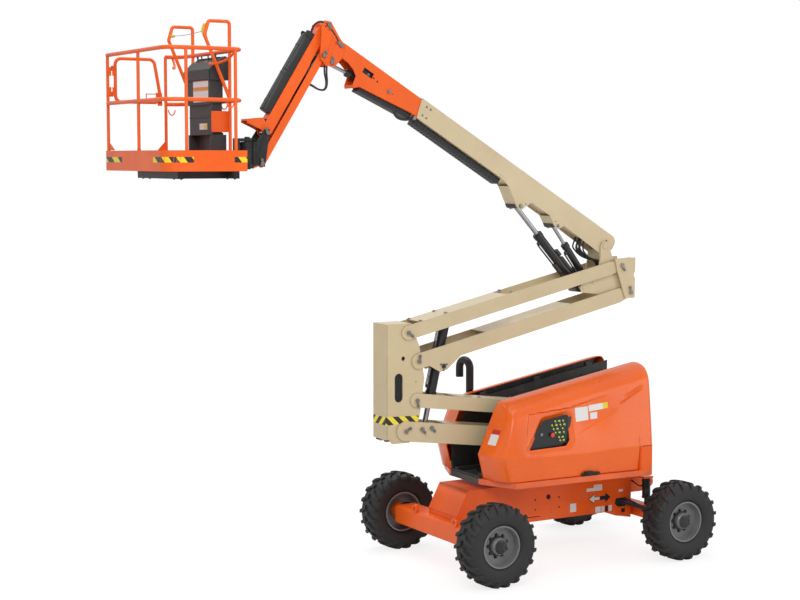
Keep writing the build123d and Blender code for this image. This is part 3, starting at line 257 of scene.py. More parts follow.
steel, shade, surface, place = new_material("zinc_steel")
mottle = shade.noise(60.0, 4.0, 0.6, place)
join(
    shade, surface,
    {
        "Base Color": mottle.mix((0.30, 0.30, 0.31, 1), (0.18, 0.175, 0.17, 1)),
        "Roughness": mottle * 0.3 + 0.25
    }
)
surface.inputs["Metallic"].default_value = 0.9


def bolt(piece, at, direction, radius, height, washer=0.0):
    """A hexagon head on its washer, standing on a surface at a point."""
    at = Vector(at)
    out = Vector(direction).normalized()
    if washer:
        piece.bar(at, at + out * washer, radius * 1.45, sides=20)
    piece.bar(at + out * washer, at + out * (washer + height), radius, radius * 0.96, sides=6)


def tinted(name, colour, roughness=0.45, metallic=0.0, vary=0.12, scale=30.0):
    """A small part's finish: one colour with a fine cloud in its tone and gloss."""
    material, shade, surface, place = new_material(name)
    cloud = shade.noise(scale, 4.0, 0.6, place)
    darker = tuple(part * (1 - vary * 2) for part in colour[:3]) + (1,)
    grain = shade.noise(scale * 12, 2.0, 0.5, place)
    bumped = shade.make("Bump", None, {"Strength": 0.08, "Distance": 0.001, "Height": grain})
    join(
        shade, surface,
        {
            "Base Color": cloud.mix(colour, darker), "Roughness": cloud * 0.16 + (roughness - 0.08),
            "Normal": bumped
        }
    )
    surface.inputs["Metallic"].default_value = metallic
    return material


# Near-black for holes, slots and openings that are not cut through: painted shade standing in for their dark
# insides. The same finish colours thin seam lines.
hole_shade_and_seam_black = tinted("painted_hole_shade_and_seams", (0.006, 0.006, 0.007, 1), 0.8)
label_white = tinted("blank_label", (0.72, 0.72, 0.70, 1), 0.38, 0.0, 0.03)
label_black = tinted("label_ink", (0.012, 0.012, 0.013, 1), 0.4)
label_red = tinted("label_red", (0.60, 0.025, 0.02, 1), 0.4)
label_yellow = tinted("label_yellow", (0.85, 0.62, 0.02, 1), 0.4)
hose_rubber = tinted("hose_rubber", (0.014, 0.014, 0.015, 1), 0.5, 0.0, 0.2, 60.0)


def sticker(name, outline, at, material, body, side=-1, thick=0.0008):
    """A thin plate on a face that looks along Y: outline in X and Z, and the face's Y."""
    piece = Piece(name)
    piece.prism(outline, min(at, at + side * thick), max(at, at + side * thick))
    return piece.place(material, body)


def patch(x0, z0, x1, z1, lean=0.0):
    """A four-cornered outline whose right end is lean higher than its left."""
    return ((x0, z0), (x1, z0 + lean), (x1, z1 + lean), (x0, z1))


for side in (-1, 1):
    face = side * 0.280
    tag = "right" if side < 0 else "left"
    # Holes, a slit and openings in each side plate, drawn as near-black discs and patches: painted shade for
    # their insides.
    holes = Piece("frame_holes_" + tag)
    holes.bar((-0.040, face - side * 0.004, 0.670), (-0.040, face + side * 0.0006, 0.670), 0.026, sides=32)
    for x, z, radius in (
        (-0.207, 0.652, 0.010), (-0.206, 0.546, 0.010), (0.099, 0.651, 0.010), (0.100, 0.544, 0.010),
        (-0.060, 0.599, 0.004), (-0.004, 0.533, 0.004), (-0.003, 0.498, 0.004)
    ):
        holes.bar((x, face - side * 0.004, z), (x, face + side * 0.0006, z), radius, sides=24)
    holes.prism(
        patch(-0.302, 0.466, -0.148, 0.474), min(face, face + side * 0.0006),
        max(face, face + side * 0.0006)
    )
    holes.prism(
        ((0.845, 0.500), (0.890, 0.462), (0.992, 0.462), (0.992, 0.560), (0.860, 0.560)),
        min(face, face + side * 0.0008), max(face, face + side * 0.0008)
    )
    holes.prism(
        ((0.935, 0.395), (0.985, 0.395), (0.985, 0.440), (0.935, 0.440)), min(face, face + side * 0.0008),
        max(face, face + side * 0.0008)
    )
    holes.place(hole_shade_and_seam_black, "chassis")

    arrow_black = (
        (0.665, 0.562), (0.715, 0.562), (0.715, 0.528), (0.786, 0.583), (0.715, 0.639), (0.715, 0.604),
        (0.635, 0.604), (0.635, 0.562)
    )
    arrow_white = (
        (0.611, 0.562), (0.561, 0.562), (0.561, 0.528), (0.490, 0.583), (0.561, 0.639), (0.561, 0.604),
        (0.641, 0.604), (0.641, 0.562)
    )
    if side > 0:
        arrow_black, arrow_white = arrow_white, arrow_black
    sticker("drive_arrow_dark_" + tag, arrow_black, face, label_black, "chassis", side)
    inner = [(0.6385 + (x - 0.6385) * 0.93 - 0.002, 0.583 + (z - 0.583) * 0.80) for x, z in arrow_white]
    sticker("drive_arrow_edge_" + tag, arrow_white, face, label_black, "chassis", side)
    sticker("drive_arrow_pale_" + tag, inner, face + side * 0.0008, label_white, "chassis", side)
    sticker("blank_plate_upper_" + tag, patch(0.462, 0.668, 0.671, 0.705), face, label_white, "chassis", side)
    sticker(
        "blank_plate_upper_step_" + tag, patch(0.560, 0.705, 0.671, 0.736), face, label_white, "chassis",
        side
    )
    sticker("blank_plate_low_" + tag, patch(0.247, 0.469, 0.326, 0.561), face, label_white, "chassis", side)
    sticker("blank_plate_small_" + tag, patch(0.895, 0.628, 0.955, 0.654), face, label_white, "chassis", side)
    for index, (x0, x1) in enumerate(((0.581, 0.655), (0.664, 0.705), (0.714, 0.752), (0.761, 0.804))):
        sticker(
            "blank_plate_row_%d_%s" % (index, tag), patch(x0, 0.420, x1, 0.492), face,
            label_white if index != 2 else label_black, "chassis", side
        )

welds = Piece("frame_weld_seams")
for side in (-1, 1):
    welds.bar((-1.050, side * 0.2805, 0.833), (-1.188, side * 0.2805, 0.574), 0.0035, sides=8)
    welds.bar((-1.030, side * 0.281, 0.424), (0.846, side * 0.281, 0.424), 0.0035, sides=8)
    welds.bar((-1.190, side * 0.281, 0.517), (-1.034, side * 0.281, 0.517), 0.004, sides=8)
welds.place(orange_paint, "chassis")

deck = Piece("rear_slope_plate")
deck.prism(((-1.0525, 0.8345), (-1.0515, 0.8365), (-1.1905, 0.5745), (-1.1925, 0.5700)), -0.2835, 0.2835)
deck.place(orange_paint, "chassis", 0.001)

axle_marks = Piece("axle_blank_plates")
axle_marks.box((-1.3008, 0.300, 0.395), (-1.3000, 0.330, 0.445))
axle_marks.place(label_white, "chassis")
axle_caps = Piece("axle_end_flanges")
for side in (-1, 1):
    axle_caps.bar((-1.166, side * 0.790, 0.419), (-1.166, side * 0.812, 0.419), 0.118, sides=32)
    for count in range(8):
        angle = math.pi * 2 * count / 8
        bolt(
            axle_caps, (-1.166 + 0.104 * math.cos(angle), side * 0.812, 0.419 + 0.104 * math.sin(angle)),
            (0, side, 0), 0.009, 0.008
        )
axle_caps.place(black_paint, "chassis", 0.0015)


def hose(name, points, radius, body, material=None):
    """A hydraulic hose held at both ends, on one smooth curve."""
    data = bpy.data.curves.new(name, "CURVE")
    data.dimensions = "3D"
    line = data.splines.new("NURBS")
    line.points.add(len(points) - 1)
    for point, place in zip(line.points, points):
        point.co = (*place, 1)
    line.order_u = 3
    line.use_endpoint_u = True
    line.resolution_u = 6
    data.bevel_depth = radius
    data.bevel_resolution = 3
    data.use_fill_caps = True
    data.materials.append(material or hose_rubber)
    thing = bpy.data.objects.new(name, data)
    bpy.context.collection.objects.link(thing)
    if body:
        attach(thing, body)
    return thing


def flexing_hose(name, points, radius):
    """A hose on one smooth curve, whose tube becomes a plain mesh on no body."""
    line = hose(name + "_line", points, radius, None)
    bpy.context.view_layer.update()
    solid_line = line.evaluated_get(bpy.context.evaluated_depsgraph_get())
    mesh = bpy.data.meshes.new_from_object(solid_line)
    bpy.data.objects.remove(line)
    thing = bpy.data.objects.new(name, mesh)
    bpy.context.collection.objects.link(thing)
    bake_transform(thing)
    return thing


steer_hose_places = (
    # side, lower than the middle one, further ahead
    (-1, 0.0, 0.0), (-1, -0.030, 0.018), (-1, 0.022, 0.030), (1, 0.0, 0.0), (1, -0.030, 0.018),
)
for index, (side, drop, lead) in enumerate(steer_hose_places):
    route = (
        (0.925 + lead, side * 0.272, 0.530 + drop), (0.975 + lead, side * 0.320, 0.520 + drop),
        (1.060, side * (0.400 + lead), 0.475 + drop * 0.5), (1.115, side * 0.470, 0.455 + drop * 0.4),
        (1.150, side * 0.540, 0.478 + drop * 0.3), (1.166, side * 0.600, 0.488 + drop * 0.2),
    )
    hose("steer_hose_%d" % index, route, 0.011, "chassis")

lockout_trim = Piece("lockout_ports")
for side in (-1, 1):
    lockout_trim.bar((1.166, side * 0.420, 0.562), (1.166, side * 0.420, 0.574), 0.049, sides=32)
    lockout_trim.bar((1.166, side * 0.420, 0.745), (1.166, side * 0.420, 0.760), 0.049, sides=32)
    lockout_trim.bar((1.120, side * 0.420, 0.700), (1.100, side * 0.420, 0.700), 0.012, sides=12)
lockout_trim.place(black_paint, "chassis", 0.0015)
for side in (-1, 1):
    tag = "right" if side < 0 else "left"
    hose(
        "lockout_hose_" + tag,
        (
            (1.102, side * 0.420, 0.700), (1.080, side * 0.420, 0.700), (1.072, side * 0.390, 0.705),
            (1.078, side * 0.330, 0.720), (1.085, side * 0.262, 0.735)
        ),
        0.007, "chassis"
    )

kingpins = Piece("kingpin_caps")
for side in (-1, 1):
    for z, way in ((0.555, 1), (0.283, -1)):
        kingpins.bar((1.166, side * 0.690, z), (1.166, side * 0.690, z + way * 0.010), 0.030, sides=24)
        for dx in (-0.018, 0.018):
            kingpins.bar(
                (1.166 + dx, side * 0.690, z + way * 0.010), (1.166 + dx, side * 0.690, z + way * 0.016),
                0.006, sides=6
            )
kingpins.place(steel, "chassis", 0.001)


# ---------------------------------------------------------------- wheels and tyres
# Wide off-road tyres with deep angled lugs, on dished steel rims. Each rim is bolted to a black hub
# that stands out through the disc and holds the wheel motor or the free bearing.
rubber, shade, surface, place = new_material("tyre_rubber")
cloud = shade.noise(6.0, 5.0, 0.6, place)
speck = shade.noise(260.0, 3.0, 0.6, place)
dusty = (cloud.band(0.45, 0.8) * 0.5).mix((0.012, 0.012, 0.013, 1), (0.026, 0.025, 0.024, 1))
rough = cloud * 0.2 + 0.58
bumped = shade.make("Bump", None, {"Strength": 0.15, "Distance": 0.002, "Height": speck})
join(shade, surface, {"Base Color": dusty, "Roughness": rough, "Normal": bumped})

rim_paint = paint("rim_enamel", (0.20, 0.20, 0.205, 1), (0.155, 0.155, 0.16, 1), 0.36, 0.25)
hub_paint = paint("hub_enamel", (0.014, 0.014, 0.015, 1), (0.024, 0.023, 0.022, 1), 0.36, 0.2)

tyre_radius = 0.419
carcass = (
    (0.2085, -0.105), (0.219, -0.107), (0.231, -0.128), (0.245, -0.141), (0.252, -0.1435), (0.262, -0.147),
    (0.288, -0.1525), (0.318, -0.1545), (0.345, -0.1515), (0.368, -0.144), (0.385, -0.128), (0.393, -0.095),
    (0.395, -0.04), (0.395, 0.04), (0.393, 0.095), (0.385, 0.128), (0.368, 0.144), (0.345, 0.1515),
    (0.318, 0.1545), (0.288, 0.1525), (0.262, 0.147), (0.252, 0.1435), (0.245, 0.141), (0.231, 0.128),
    (0.219, 0.107), (0.2085, 0.105),
)
lug_stations = (
    # across, outer radius, base radius, lead in degrees, half length in degrees
    (0.006, 0.4185, 0.392, 0.0, 3.6),
    (0.050, 0.4185, 0.392, 1.2, 4.4),
    (0.062, 0.4183, 0.391, 4.6, 3.2),
    (0.105, 0.4165, 0.388, 7.0, 3.0),
    (0.134, 0.4100, 0.376, 8.6, 2.7),
    (0.1535, 0.3860, 0.355, 9.6, 2.4),
    (0.1560, 0.3600, 0.350, 10.2, 2.1),
    (0.1550, 0.3440, 0.338, 10.4, 1.8),
)
lugs_round = 20
wheel_places = {
    "front_left": (1.166, 0.9735, 1),
    "front_right": (1.166, -0.9735, -1),
    "rear_left": (-1.166, 0.9735, 1),
    "rear_right": (-1.166, -0.9735, -1),
}
for corner, (x, y, side) in wheel_places.items():
    tyre = Piece("tyre_" + corner + "_lugged")
    tyre.turned(carcass, (x, y, tyre_radius), "Y", 96)
    for half in (-1, 1):
        for count in range(lugs_round):
            phase = 360.0 / lugs_round * (count + (0.5 if half > 0 else 0.0))
            rings = []
            for across, outer, inner, lead, half_length in lug_stations:
                section = []
                for radius, spread in ((inner, -1.12), (outer, -0.9), (outer, 0.9), (inner, 1.12)):
                    angle = math.radians(phase + lead + spread * half_length)
                    section.append(
                        (
                            x + radius * math.cos(angle), y + half * across,
                            tyre_radius + radius * math.sin(angle)
                        )
                    )
                rings.append(section)
            tyre.loft(rings)
    piece = tyre.place(rubber, "wheel_" + corner, 0.003, 30)
    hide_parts("tyre_" + corner)
    dress(rim_paint, "rim_" + corner)
    nuts = Piece("wheel_nuts_" + corner)
    for count in range(9):
        angle = 2 * math.pi * count / 9 + 0.3
        place_at = (x + 0.112 * math.cos(angle), y + side * 0.032, tyre_radius + 0.112 * math.sin(angle))
        bolt(nuts, place_at, (0, side, 0), 0.0125, 0.018, 0.003)
    nuts.place(hub_paint, "wheel_" + corner, 0.001)
    cap = Piece("hub_cap_" + corner)
    cap_profile = ((0.0, 0.1005), (0.0, 0.1035), (0.068, 0.1035), (0.0725, 0.1005))
    if side < 0:
        cap_profile = [(radius, -along) for radius, along in cap_profile]
    cap.turned(cap_profile, (x, y, tyre_radius), "Y", 48)
    collar = ((0.0873, 0.0325), (0.102, 0.0325), (0.102, 0.041), (0.0873, 0.041))
    if side < 0:
        collar = [(radius, -along) for radius, along in collar]
    cap.turned(collar, (x, y, tyre_radius), "Y", 48)
    for count in range(6):
        angle = math.pi * 2 * count / 6
        bolt(
            cap, (x + 0.052 * math.cos(angle), y + side * 0.1035, tyre_radius + 0.052 * math.sin(angle)),
            (0, side, 0), 0.0065, 0.005
        )
    cap.place(hub_paint, "wheel_" + corner, 0.002)


# ---------------------------------------------------------------- turntable, trough and counterweight
# A thick plate turns on the swing bearing. Upright walls make a dark trough for the tower between the hoods,
# with painted shade on the plate inside it, and a cast counterweight closes the tail.
turntable_paint_and_shade, shade, surface, place = new_material("turntable_enamel_and_painted_shade")
across = shade.make("SeparateXYZ", None, {0: place}, 1)
along = shade.make("SeparateXYZ", None, {0: place}, 0)
level = shade.make("SeparateXYZ", None, {0: place}, 2)
# The plate's top inside the trough, any part of it above 0.955 m and its front face under the trough turn
# near-black: painted shade where the hoods and walls shadow the trough. The rest is orange enamel.
inside = (shade.math("ABSOLUTE", across) < 0.2845) * (level > 0.9485)
front = (along < -0.9195) * (shade.math("ABSOLUTE", across) < 0.27)
high = level > 0.955
dark = shade.math("MAXIMUM", shade.math("MAXIMUM", inside, high), front)
cloud = shade.noise(5.0, 4.0, 0.6, place)
skin = cloud.band(0.35, 0.7).mix((0.80, 0.125, 0.021, 1), (0.70, 0.10, 0.018, 1))
painted_trough_shade = cloud.mix((0.028, 0.027, 0.028, 1), (0.045, 0.043, 0.042, 1))
peel = shade.noise(420.0, 2.0, 0.5, place)
rounded = shade.make("Bevel", {"samples": 4}, {"Radius": 0.003})
bumped = shade.make("Bump", None, {"Strength": 0.06, "Distance": 0.002, "Height": peel, "Normal": rounded})
join(
    shade, surface,
    {"Base Color": dark.mix(skin, painted_trough_shade), "Roughness": cloud * 0.2 + dark * 0.15 + 0.26, "Normal": bumped}
)
surface.inputs["Coat Weight"].default_value = 0.2
dress(turntable_paint_and_shade, "turntable_base")
trough_paint = paint("trough_enamel", (0.030, 0.029, 0.030, 1), (0.042, 0.040, 0.040, 1), 0.5, 0.08)
dress(trough_paint, "trough_walls", "engine_block", "fluid_tank")
dress(orange_paint, "counterweight")
dress(grey_paint, "swing_bearing")

ring_bolts = Piece("bearing_bolts")
for count in range(24):
    angle = 2 * math.pi * count / 24
    at = (0.080 + 0.284 * math.cos(angle), 0.284 * math.sin(angle), 0.8355)
    bolt(ring_bolts, at, (0, 0, 1), 0.010, 0.010, 0.002)
ring_bolts.place(steel, "chassis", 0.0008)

lining = Piece("trough_ribs")
for side in (-1, 1):
    for x, top in ((-0.60, 1.56), (-0.15, 1.70), (0.33, 1.79), (0.80, 1.87)):
        lining.box(
            (x, min(side * 0.272, side * 0.2845), 0.975), (x + 0.030, max(side * 0.272, side * 0.2845), top)
        )
    lining.prism(
        ((-0.52, 1.610), (1.10, 1.896), (1.10, 1.906), (-0.52, 1.620)), min(side * 0.266, side * 0.2845),
        max(side * 0.266, side * 0.2845)
    )
    lining.prism(
        ((-0.62, 1.300), (1.10, 1.604), (1.10, 1.612), (-0.62, 1.308)), min(side * 0.278, side * 0.2845),
        max(side * 0.278, side * 0.2845)
    )
lining.place(trough_paint, "turntable", 0.001)
floor_rib = Piece("trough_floor_plates")
floor_rib.box((-0.88, -0.255, 0.9505), (-0.20, -0.190, 0.990))
floor_rib.box((-0.88, 0.190, 0.9505), (-0.20, 0.255, 0.990))
floor_rib.box((-0.905, -0.265, 0.9505), (-0.885, 0.265, 0.972))
floor_rib.place(trough_paint, "turntable", 0.002)
for index, (y, z) in enumerate(
    ((-0.10, 0.966), (-0.06, 0.968), (-0.02, 0.966), (0.05, 0.967), (0.10, 0.966))
):
    hose(
        "trough_hose_%d" % index,
        (
            (-0.70, y, z), (-0.55, y * 1.1, z + 0.004), (-0.35, y * 1.3, z), (-0.15, y, z + 0.006),
            (0.05, y * 0.8, z), (0.25, y * 0.9, z)
        ),
        0.012, "turntable"
    )

hazard, shade, surface, place = new_material("hazard_stripes")
along = shade.make("SeparateXYZ", None, {0: place}, 0)
across = shade.make("SeparateXYZ", None, {0: place}, 1)
level = shade.make("SeparateXYZ", None, {0: place}, 2)
phase = shade.math("FRACT", (along + across + level) * 7.4 + 0.1)
cloud = shade.noise(12.0, 4.0, 0.6, place)
yellow = cloud.mix((0.86, 0.70, 0.03, 1), (0.78, 0.62, 0.03, 1))
join(
    shade, surface,
    {"Base Color": (phase > 0.5).mix(yellow, (0.012, 0.012, 0.013, 1)), "Roughness": cloud * 0.15 + 0.32}
)
tail_band = Piece("tail_hazard_band")
rings = []
for degrees in (-36.0, -33.0, -30.0, -27.0, -24.0, -21.0, -18.0):
    angle = math.radians(degrees)
    ring = []
    for radius in (1.1695, 1.1705):
        for z in ((1.085, 1.165) if radius < 1.17 else (1.165, 1.085)):
            ring.append((0.080 + radius * math.cos(angle), radius * math.sin(angle), z))
    rings.append(ring)
tail_band.loft(rings)
tail_band.place(hazard, "turntable")


# ---------------------------------------------------------------- hoods
# Two tall moulded covers hinged along the top of the trough. Each has a shoulder that stands over a
# sunk side panel, gill lines at the tail, a skirt below a sharp crease, and a draw latch on its edge.
hood_paint, shade, surface, place = new_material("hood_gloss")
drift = shade.noise(1.3, 3.0, 0.5, place)
grime = shade.noise(7.0, 6.0, 0.65, place).band(0.55, 0.8)
base = drift.band(0.35, 0.7).mix((0.84, 0.128, 0.008, 1), (0.76, 0.108, 0.007, 1))
waves = shade.noise(2.6, 2.0, 0.5, place)
peel = shade.noise(260.0, 2.0, 0.5, place)
bumped = shade.make("Bump", None, {"Strength": 0.10, "Distance": 0.02, "Height": waves + peel * 0.03})
join(
    shade, surface,
    {
        "Base Color": (grime * 0.06).mix(base, (0.33, 0.27, 0.20, 1)),
        "Roughness": grime * 0.12 + drift * 0.06 + 0.24, "Normal": bumped
    }
)
surface.inputs["Specular IOR Level"].default_value = 0.34
surface.inputs["Coat Weight"].default_value = 0.22
surface.inputs["Coat Roughness"].default_value = 0.10

crease_level = 1.212
window = (
    (-0.557, 1.271), (-0.351, 1.551), (-0.320, 1.560), (-0.060, 1.596), (-0.039, 1.585), (-0.048, 1.340),
    (-0.097, 1.288), (-0.130, 1.283)
)


roof_start = (-0.640, 1.765)
roof_slope = 0.1763


def roof_line(x):
    """The height of the hood's roof along its inner edge."""
    return roof_start[1] + (x - roof_start[0]) * roof_slope


def soft_max(values, radius):
    """The largest of some distances, with the corner between them rounded."""
    top = numpy.maximum.reduce(values)
    return top + radius * numpy.log(sum(numpy.exp((value - top) / radius) for value in values))


def ramp(value, low, high):
    part = numpy.clip((value - low) / (high - low), 0, 1)
    return part * part * (3 - 2 * part)


def line_height(x, start, end):
    return start[1] + (x - start[0]) * (end[1] - start[1]) / (end[0] - start[0])


def outline_gap(x, z, outline):
    """The distance outside a closed outline, negative inside it."""
    best = numpy.full(numpy.shape(x), 9.0)
    inside = numpy.zeros(numpy.shape(x), bool)
    for (ax, az), (bx, bz) in zip(outline, outline[1:] + outline[:1]):
        along = numpy.clip(
            ((x - ax) * (bx - ax) + (z - az) * (bz - az)) / ((bx - ax) ** 2 + (bz - az) ** 2), 0, 1
        )
        best = numpy.minimum(best, numpy.hypot(x - ax - along * (bx - ax), z - az - along * (bz - az)))
        crossing = (az > z) != (bz > z)
        inside ^= crossing & (x < (bx - ax) * (z - az) / ((bz - az) or 1e-9) + ax)
    return numpy.where(inside, -best, best)


def nearest_edge(x, z, outline):
    """The place on a closed outline nearest to a point, and how far away it is."""
    best = (9.0, x, z)
    for (ax, az), (bx, bz) in zip(outline, outline[1:] + outline[:1]):
        along = ((x - ax) * (bx - ax) + (z - az) * (bz - az)) / ((bx - ax) ** 2 + (bz - az) ** 2)
        along = min(max(along, 0.0), 1.0)
        px, pz = ax + along * (bx - ax), az + along * (bz - az)
        best = min(best, (math.hypot(x - px, z - pz), px, pz))
    return best


def hood_relief(x, z, with_window):
    """How far the side skin is sunk at a place, with the panel, the gills and the body line."""
    above = line_height(x, (-0.019, 1.672), (0.537, 1.790))
    above = numpy.where(x < -0.019, line_height(x, (-0.540, 1.636), (-0.019, 1.672)), above)
    front = -0.560 + (z - 1.683) * 0.255 + 0.030
    fade = 1 - ramp(x, 0.10, 0.62)
    sunk = 0.020 * ramp(above - z, -0.004, 0.012) * ramp(x - front, 0.0, 0.030) * fade
    sunk = sunk * (0.35 + 0.65 * ramp(z, 1.26, 1.50))
    body_line = line_height(x, (0.025, 1.385), (0.561, 1.590))
    near_line = ramp(z - body_line, -0.006, 0.006) * ramp(x, 0.0, 0.16) * (1 - ramp(x, 0.46, 0.60))
    sunk = sunk + 0.007 * near_line * (1 - ramp(z - body_line, 0.0, 0.10))
    for (ax, az), (bx, bz), deep in (
        ((0.575, 1.648), (0.905, 1.800), 0.012), ((0.640, 1.725), (0.935, 1.835), 0.010)
    ):
        groove = z - line_height(x, (ax, az), (bx, bz))
        sunk = sunk + deep * (
            1 - ramp(numpy.abs(groove), 0.002, 0.013)
        ) * ramp(x, ax, ax + 0.10) * (1 - ramp(x, bx - 0.02, bx + 0.02))
    if with_window:
        gap = outline_gap(x, z, window)
        sunk = sunk + 0.022 * (1 - ramp(gap, 0.004, 0.052))
    return sunk


def hood_distance(x, w, z, with_window):
    """How far a place is outside the hood's skin, where w is its distance from the centre plane."""
    rise = z - crease_level
    side_w = numpy.interp(x, (-0.74, 0.30, 0.965, 1.3), (0.710, 0.735, 0.762, 0.772))
    upper = w - side_w + 0.21 * rise + hood_relief(x, z, with_window)
    walls = [upper, numpy.hypot(x - 0.08, w) - 1.168 + 0.05 * rise]
    skirt = [w - side_w - 0.11 * rise, numpy.hypot(x - 0.08, w) - 1.168]
    for (ax, aw), (bx, bw), lean in (
        ((-0.955, 0.310), (-0.932, 0.520), 0.44), ((-0.932, 0.520), (-0.868, 0.650), 0.38),
        ((-0.868, 0.650), (-0.765, 0.700), 0.30), ((-0.765, 0.700), (-0.690, 0.7115), 0.26)
    ):
        length = math.hypot(bx - ax, bw - aw)
        nx, nw = -(bw - aw) / length, (bx - ax) / length
        out = (x - ax) * nx + (w - aw) * nw
        walls.append(out - rise * lean * nx)
        skirt.append(out + rise * 0.26 * nx)
    top = z - roof_line(x)
    shoulder = (top + (w - 0.43) * 0.62) / 1.17
    tail = ((x - 1.135) * 0.301 + (z - 2.001) * 0.115) / 0.322
    roof = [top, shoulder, tail]
    body = soft_max([soft_max(walls, 0.010), soft_max(roof, 0.030)], 0.022)
    return numpy.maximum(body, soft_max(skirt, 0.010))


def hood(name, side, with_window):
    """The whole skin, found along lines that fan out from the hinge line, then given its thickness."""
    columns = [(-0.55, angle) for angle in numpy.linspace(0, 90, 44)]
    columns += [(x, 90.0) for x in numpy.linspace(-0.54, 0.86, 150)]
    columns += [(0.87, angle) for angle in numpy.linspace(90, 180, 40)]
    rows = [(level, 0.0) for level in numpy.linspace(0, 1, 64)]
    rows += [(1.0, angle) for angle in numpy.linspace(1.2, 90, 76)]
    start_x = numpy.array([x for x, angle in columns])[:, None] + numpy.zeros(len(rows))
    turn = numpy.radians([angle for x, angle in columns])[:, None]
    lift = numpy.radians([angle for level, angle in rows])[None, :]
    level = numpy.array([level for level, angle in rows])[None, :]
    way_x = -numpy.cos(turn) * numpy.cos(lift)
    way_w = numpy.sin(turn) * numpy.cos(lift) + 0 * lift
    way_z = numpy.sin(lift) + 0 * turn
    over_weight = (start_x > 0.812) | (way_x > 0.2)
    low = numpy.where(over_weight, crease_level, 0.953)
    start_z = low + (1.45 - low) * level
    near = numpy.zeros(start_x.shape)
    far = numpy.full(start_x.shape, 2.0)
    for step in range(24):
        middle = (near + far) / 2
        outside = hood_distance(
            start_x + way_x * middle, 0.3105 + way_w * middle, start_z + way_z * middle, with_window
        ) > 0
        far = numpy.where(outside, middle, far)
        near = numpy.where(outside, near, middle)
    x = start_x + way_x * near
    w = 0.3105 + way_w * near
    z = start_z + way_z * near
    shell = Piece(name)
    grid = [
        [
            shell.mesh.verts.new((x[i, j], side * w[i, j], z[i, j]))
            for j in range(len(rows))
        ] for i in range(len(columns))
    ]
    for i in range(len(columns) - 1):
        for j in range(len(rows) - 1):
            middle = (x[i, j] + x[i + 1, j + 1]) / 2, (z[i, j] + z[i + 1, j + 1]) / 2
            if with_window and w[i, j] > 0.5 and outline_gap(
                numpy.array([middle[0]]), numpy.array([middle[1]]), window
            )[0] < 0:
                continue
            shell.mesh.faces.new((grid[i][j], grid[i + 1][j], grid[i + 1][j + 1], grid[i][j + 1]))
    bmesh.ops.remove_doubles(shell.mesh, verts=shell.mesh.verts, dist=0.0002)
    for corner in shell.mesh.verts:
        if with_window and corner.is_boundary:
            gap, edge_x, edge_z = nearest_edge(corner.co.x, corner.co.z, window)
            if gap < 0.016:
                corner.co = (edge_x, corner.co.y, edge_z)
    thing = shell.place(hood_paint, "hood_right" if side < 0 else "hood_left", 0, 28, "hood_shell")
    wall = thing.modifiers.new("wall", "SOLIDIFY")
    wall.thickness = 0.010
    wall.offset = -1.0
    return thing


near_hood = hood("hood_right_skin", -1, True)
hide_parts("hood_right")
far_hood = hood("hood_left_skin", 1, False)
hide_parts("hood_left")
for side, tag in ((-1, "right"), (1, "left")):
    flange = Piece("hood_flange_" + tag)
    edge = [(x, roof_line(x)) for x in (-0.50, -0.2, 0.1, 0.4, 0.7, 0.98)]
    strip = [(x, z - 0.020) for x, z in edge] + [(x, z - 0.075) for x, z in reversed(edge)]
    flange.prism(strip, min(side * 0.3105, side * 0.3185), max(side * 0.3105, side * 0.3185))
    flange.place(black_paint, "hood_" + tag, 0.002)
    seal = Piece("hood_edge_seal_" + tag)
    seal.bar((-0.62, side * 0.3145, 1.750), (1.02, side * 0.3145, 2.040), 0.006, sides=10)
    seal.place(hose_rubber, "hood_" + tag)

ledge = Piece("counterweight_face_step")
for side in (-1, 1):
    ledge.prism(
        ((0.822, 0.955), (0.830, 0.955), (0.830, 1.196), (0.822, 1.196)), min(side * 0.745, side * 0.7655),
        max(side * 0.745, side * 0.7655)
    )
ledge.place(orange_paint, "turntable", 0.002)

for side, tag in ((-1, "right"), (1, "left")):
    latch = Piece("hood_latch_" + tag)
    y = side * 0.7105
    ends = sorted((y, y + side * 0.030))
    latch.prism(
        (
            (0.110, 0.957), (0.286, 0.957), (0.300, 0.972), (0.296, 0.984), (0.215, 0.986), (0.205, 0.998),
            (0.120, 1.000), (0.106, 0.990)
        ),
        *ends
    )
    latch.bar((0.135, y, 0.978), (0.135, y + side * 0.040, 0.978), 0.012, sides=20)
    latch.box((0.075, min(y, y + side * 0.018), 0.945), (0.112, max(y, y + side * 0.018), 0.985))
    latch.place(black_paint, "hood_" + tag, 0.003)
plates = (
    ("blank_plate_side", ((0.046, 1.519), (0.206, 1.528), (0.212, 1.668), (0.050, 1.660)), label_white),
    ("blank_plate_line", ((0.222, 1.612), (0.398, 1.630), (0.400, 1.692), (0.224, 1.676)), label_white),
    ("blank_plate_line_end", ((0.399, 1.630), (0.458, 1.637), (0.460, 1.698), (0.401, 1.692)), label_yellow),
    ("blank_plate_low", ((0.232, 1.530), (0.318, 1.536), (0.320, 1.604), (0.234, 1.598)), label_white),
)
halvings = 24
label_lift = (0.0006, 0.0020)


def skin_from(inside, outside, place_at):
    """Halves the way from a place inside the skin to one outside it, down to the skin itself."""
    for step in range(halvings):
        middle = (inside + outside) / 2
        x, w, z = place_at(middle)
        if hood_distance(numpy.array([x]), numpy.array([w]), numpy.array([z]), True)[0] > 0:
            outside = middle
        else:
            inside = middle
    return inside


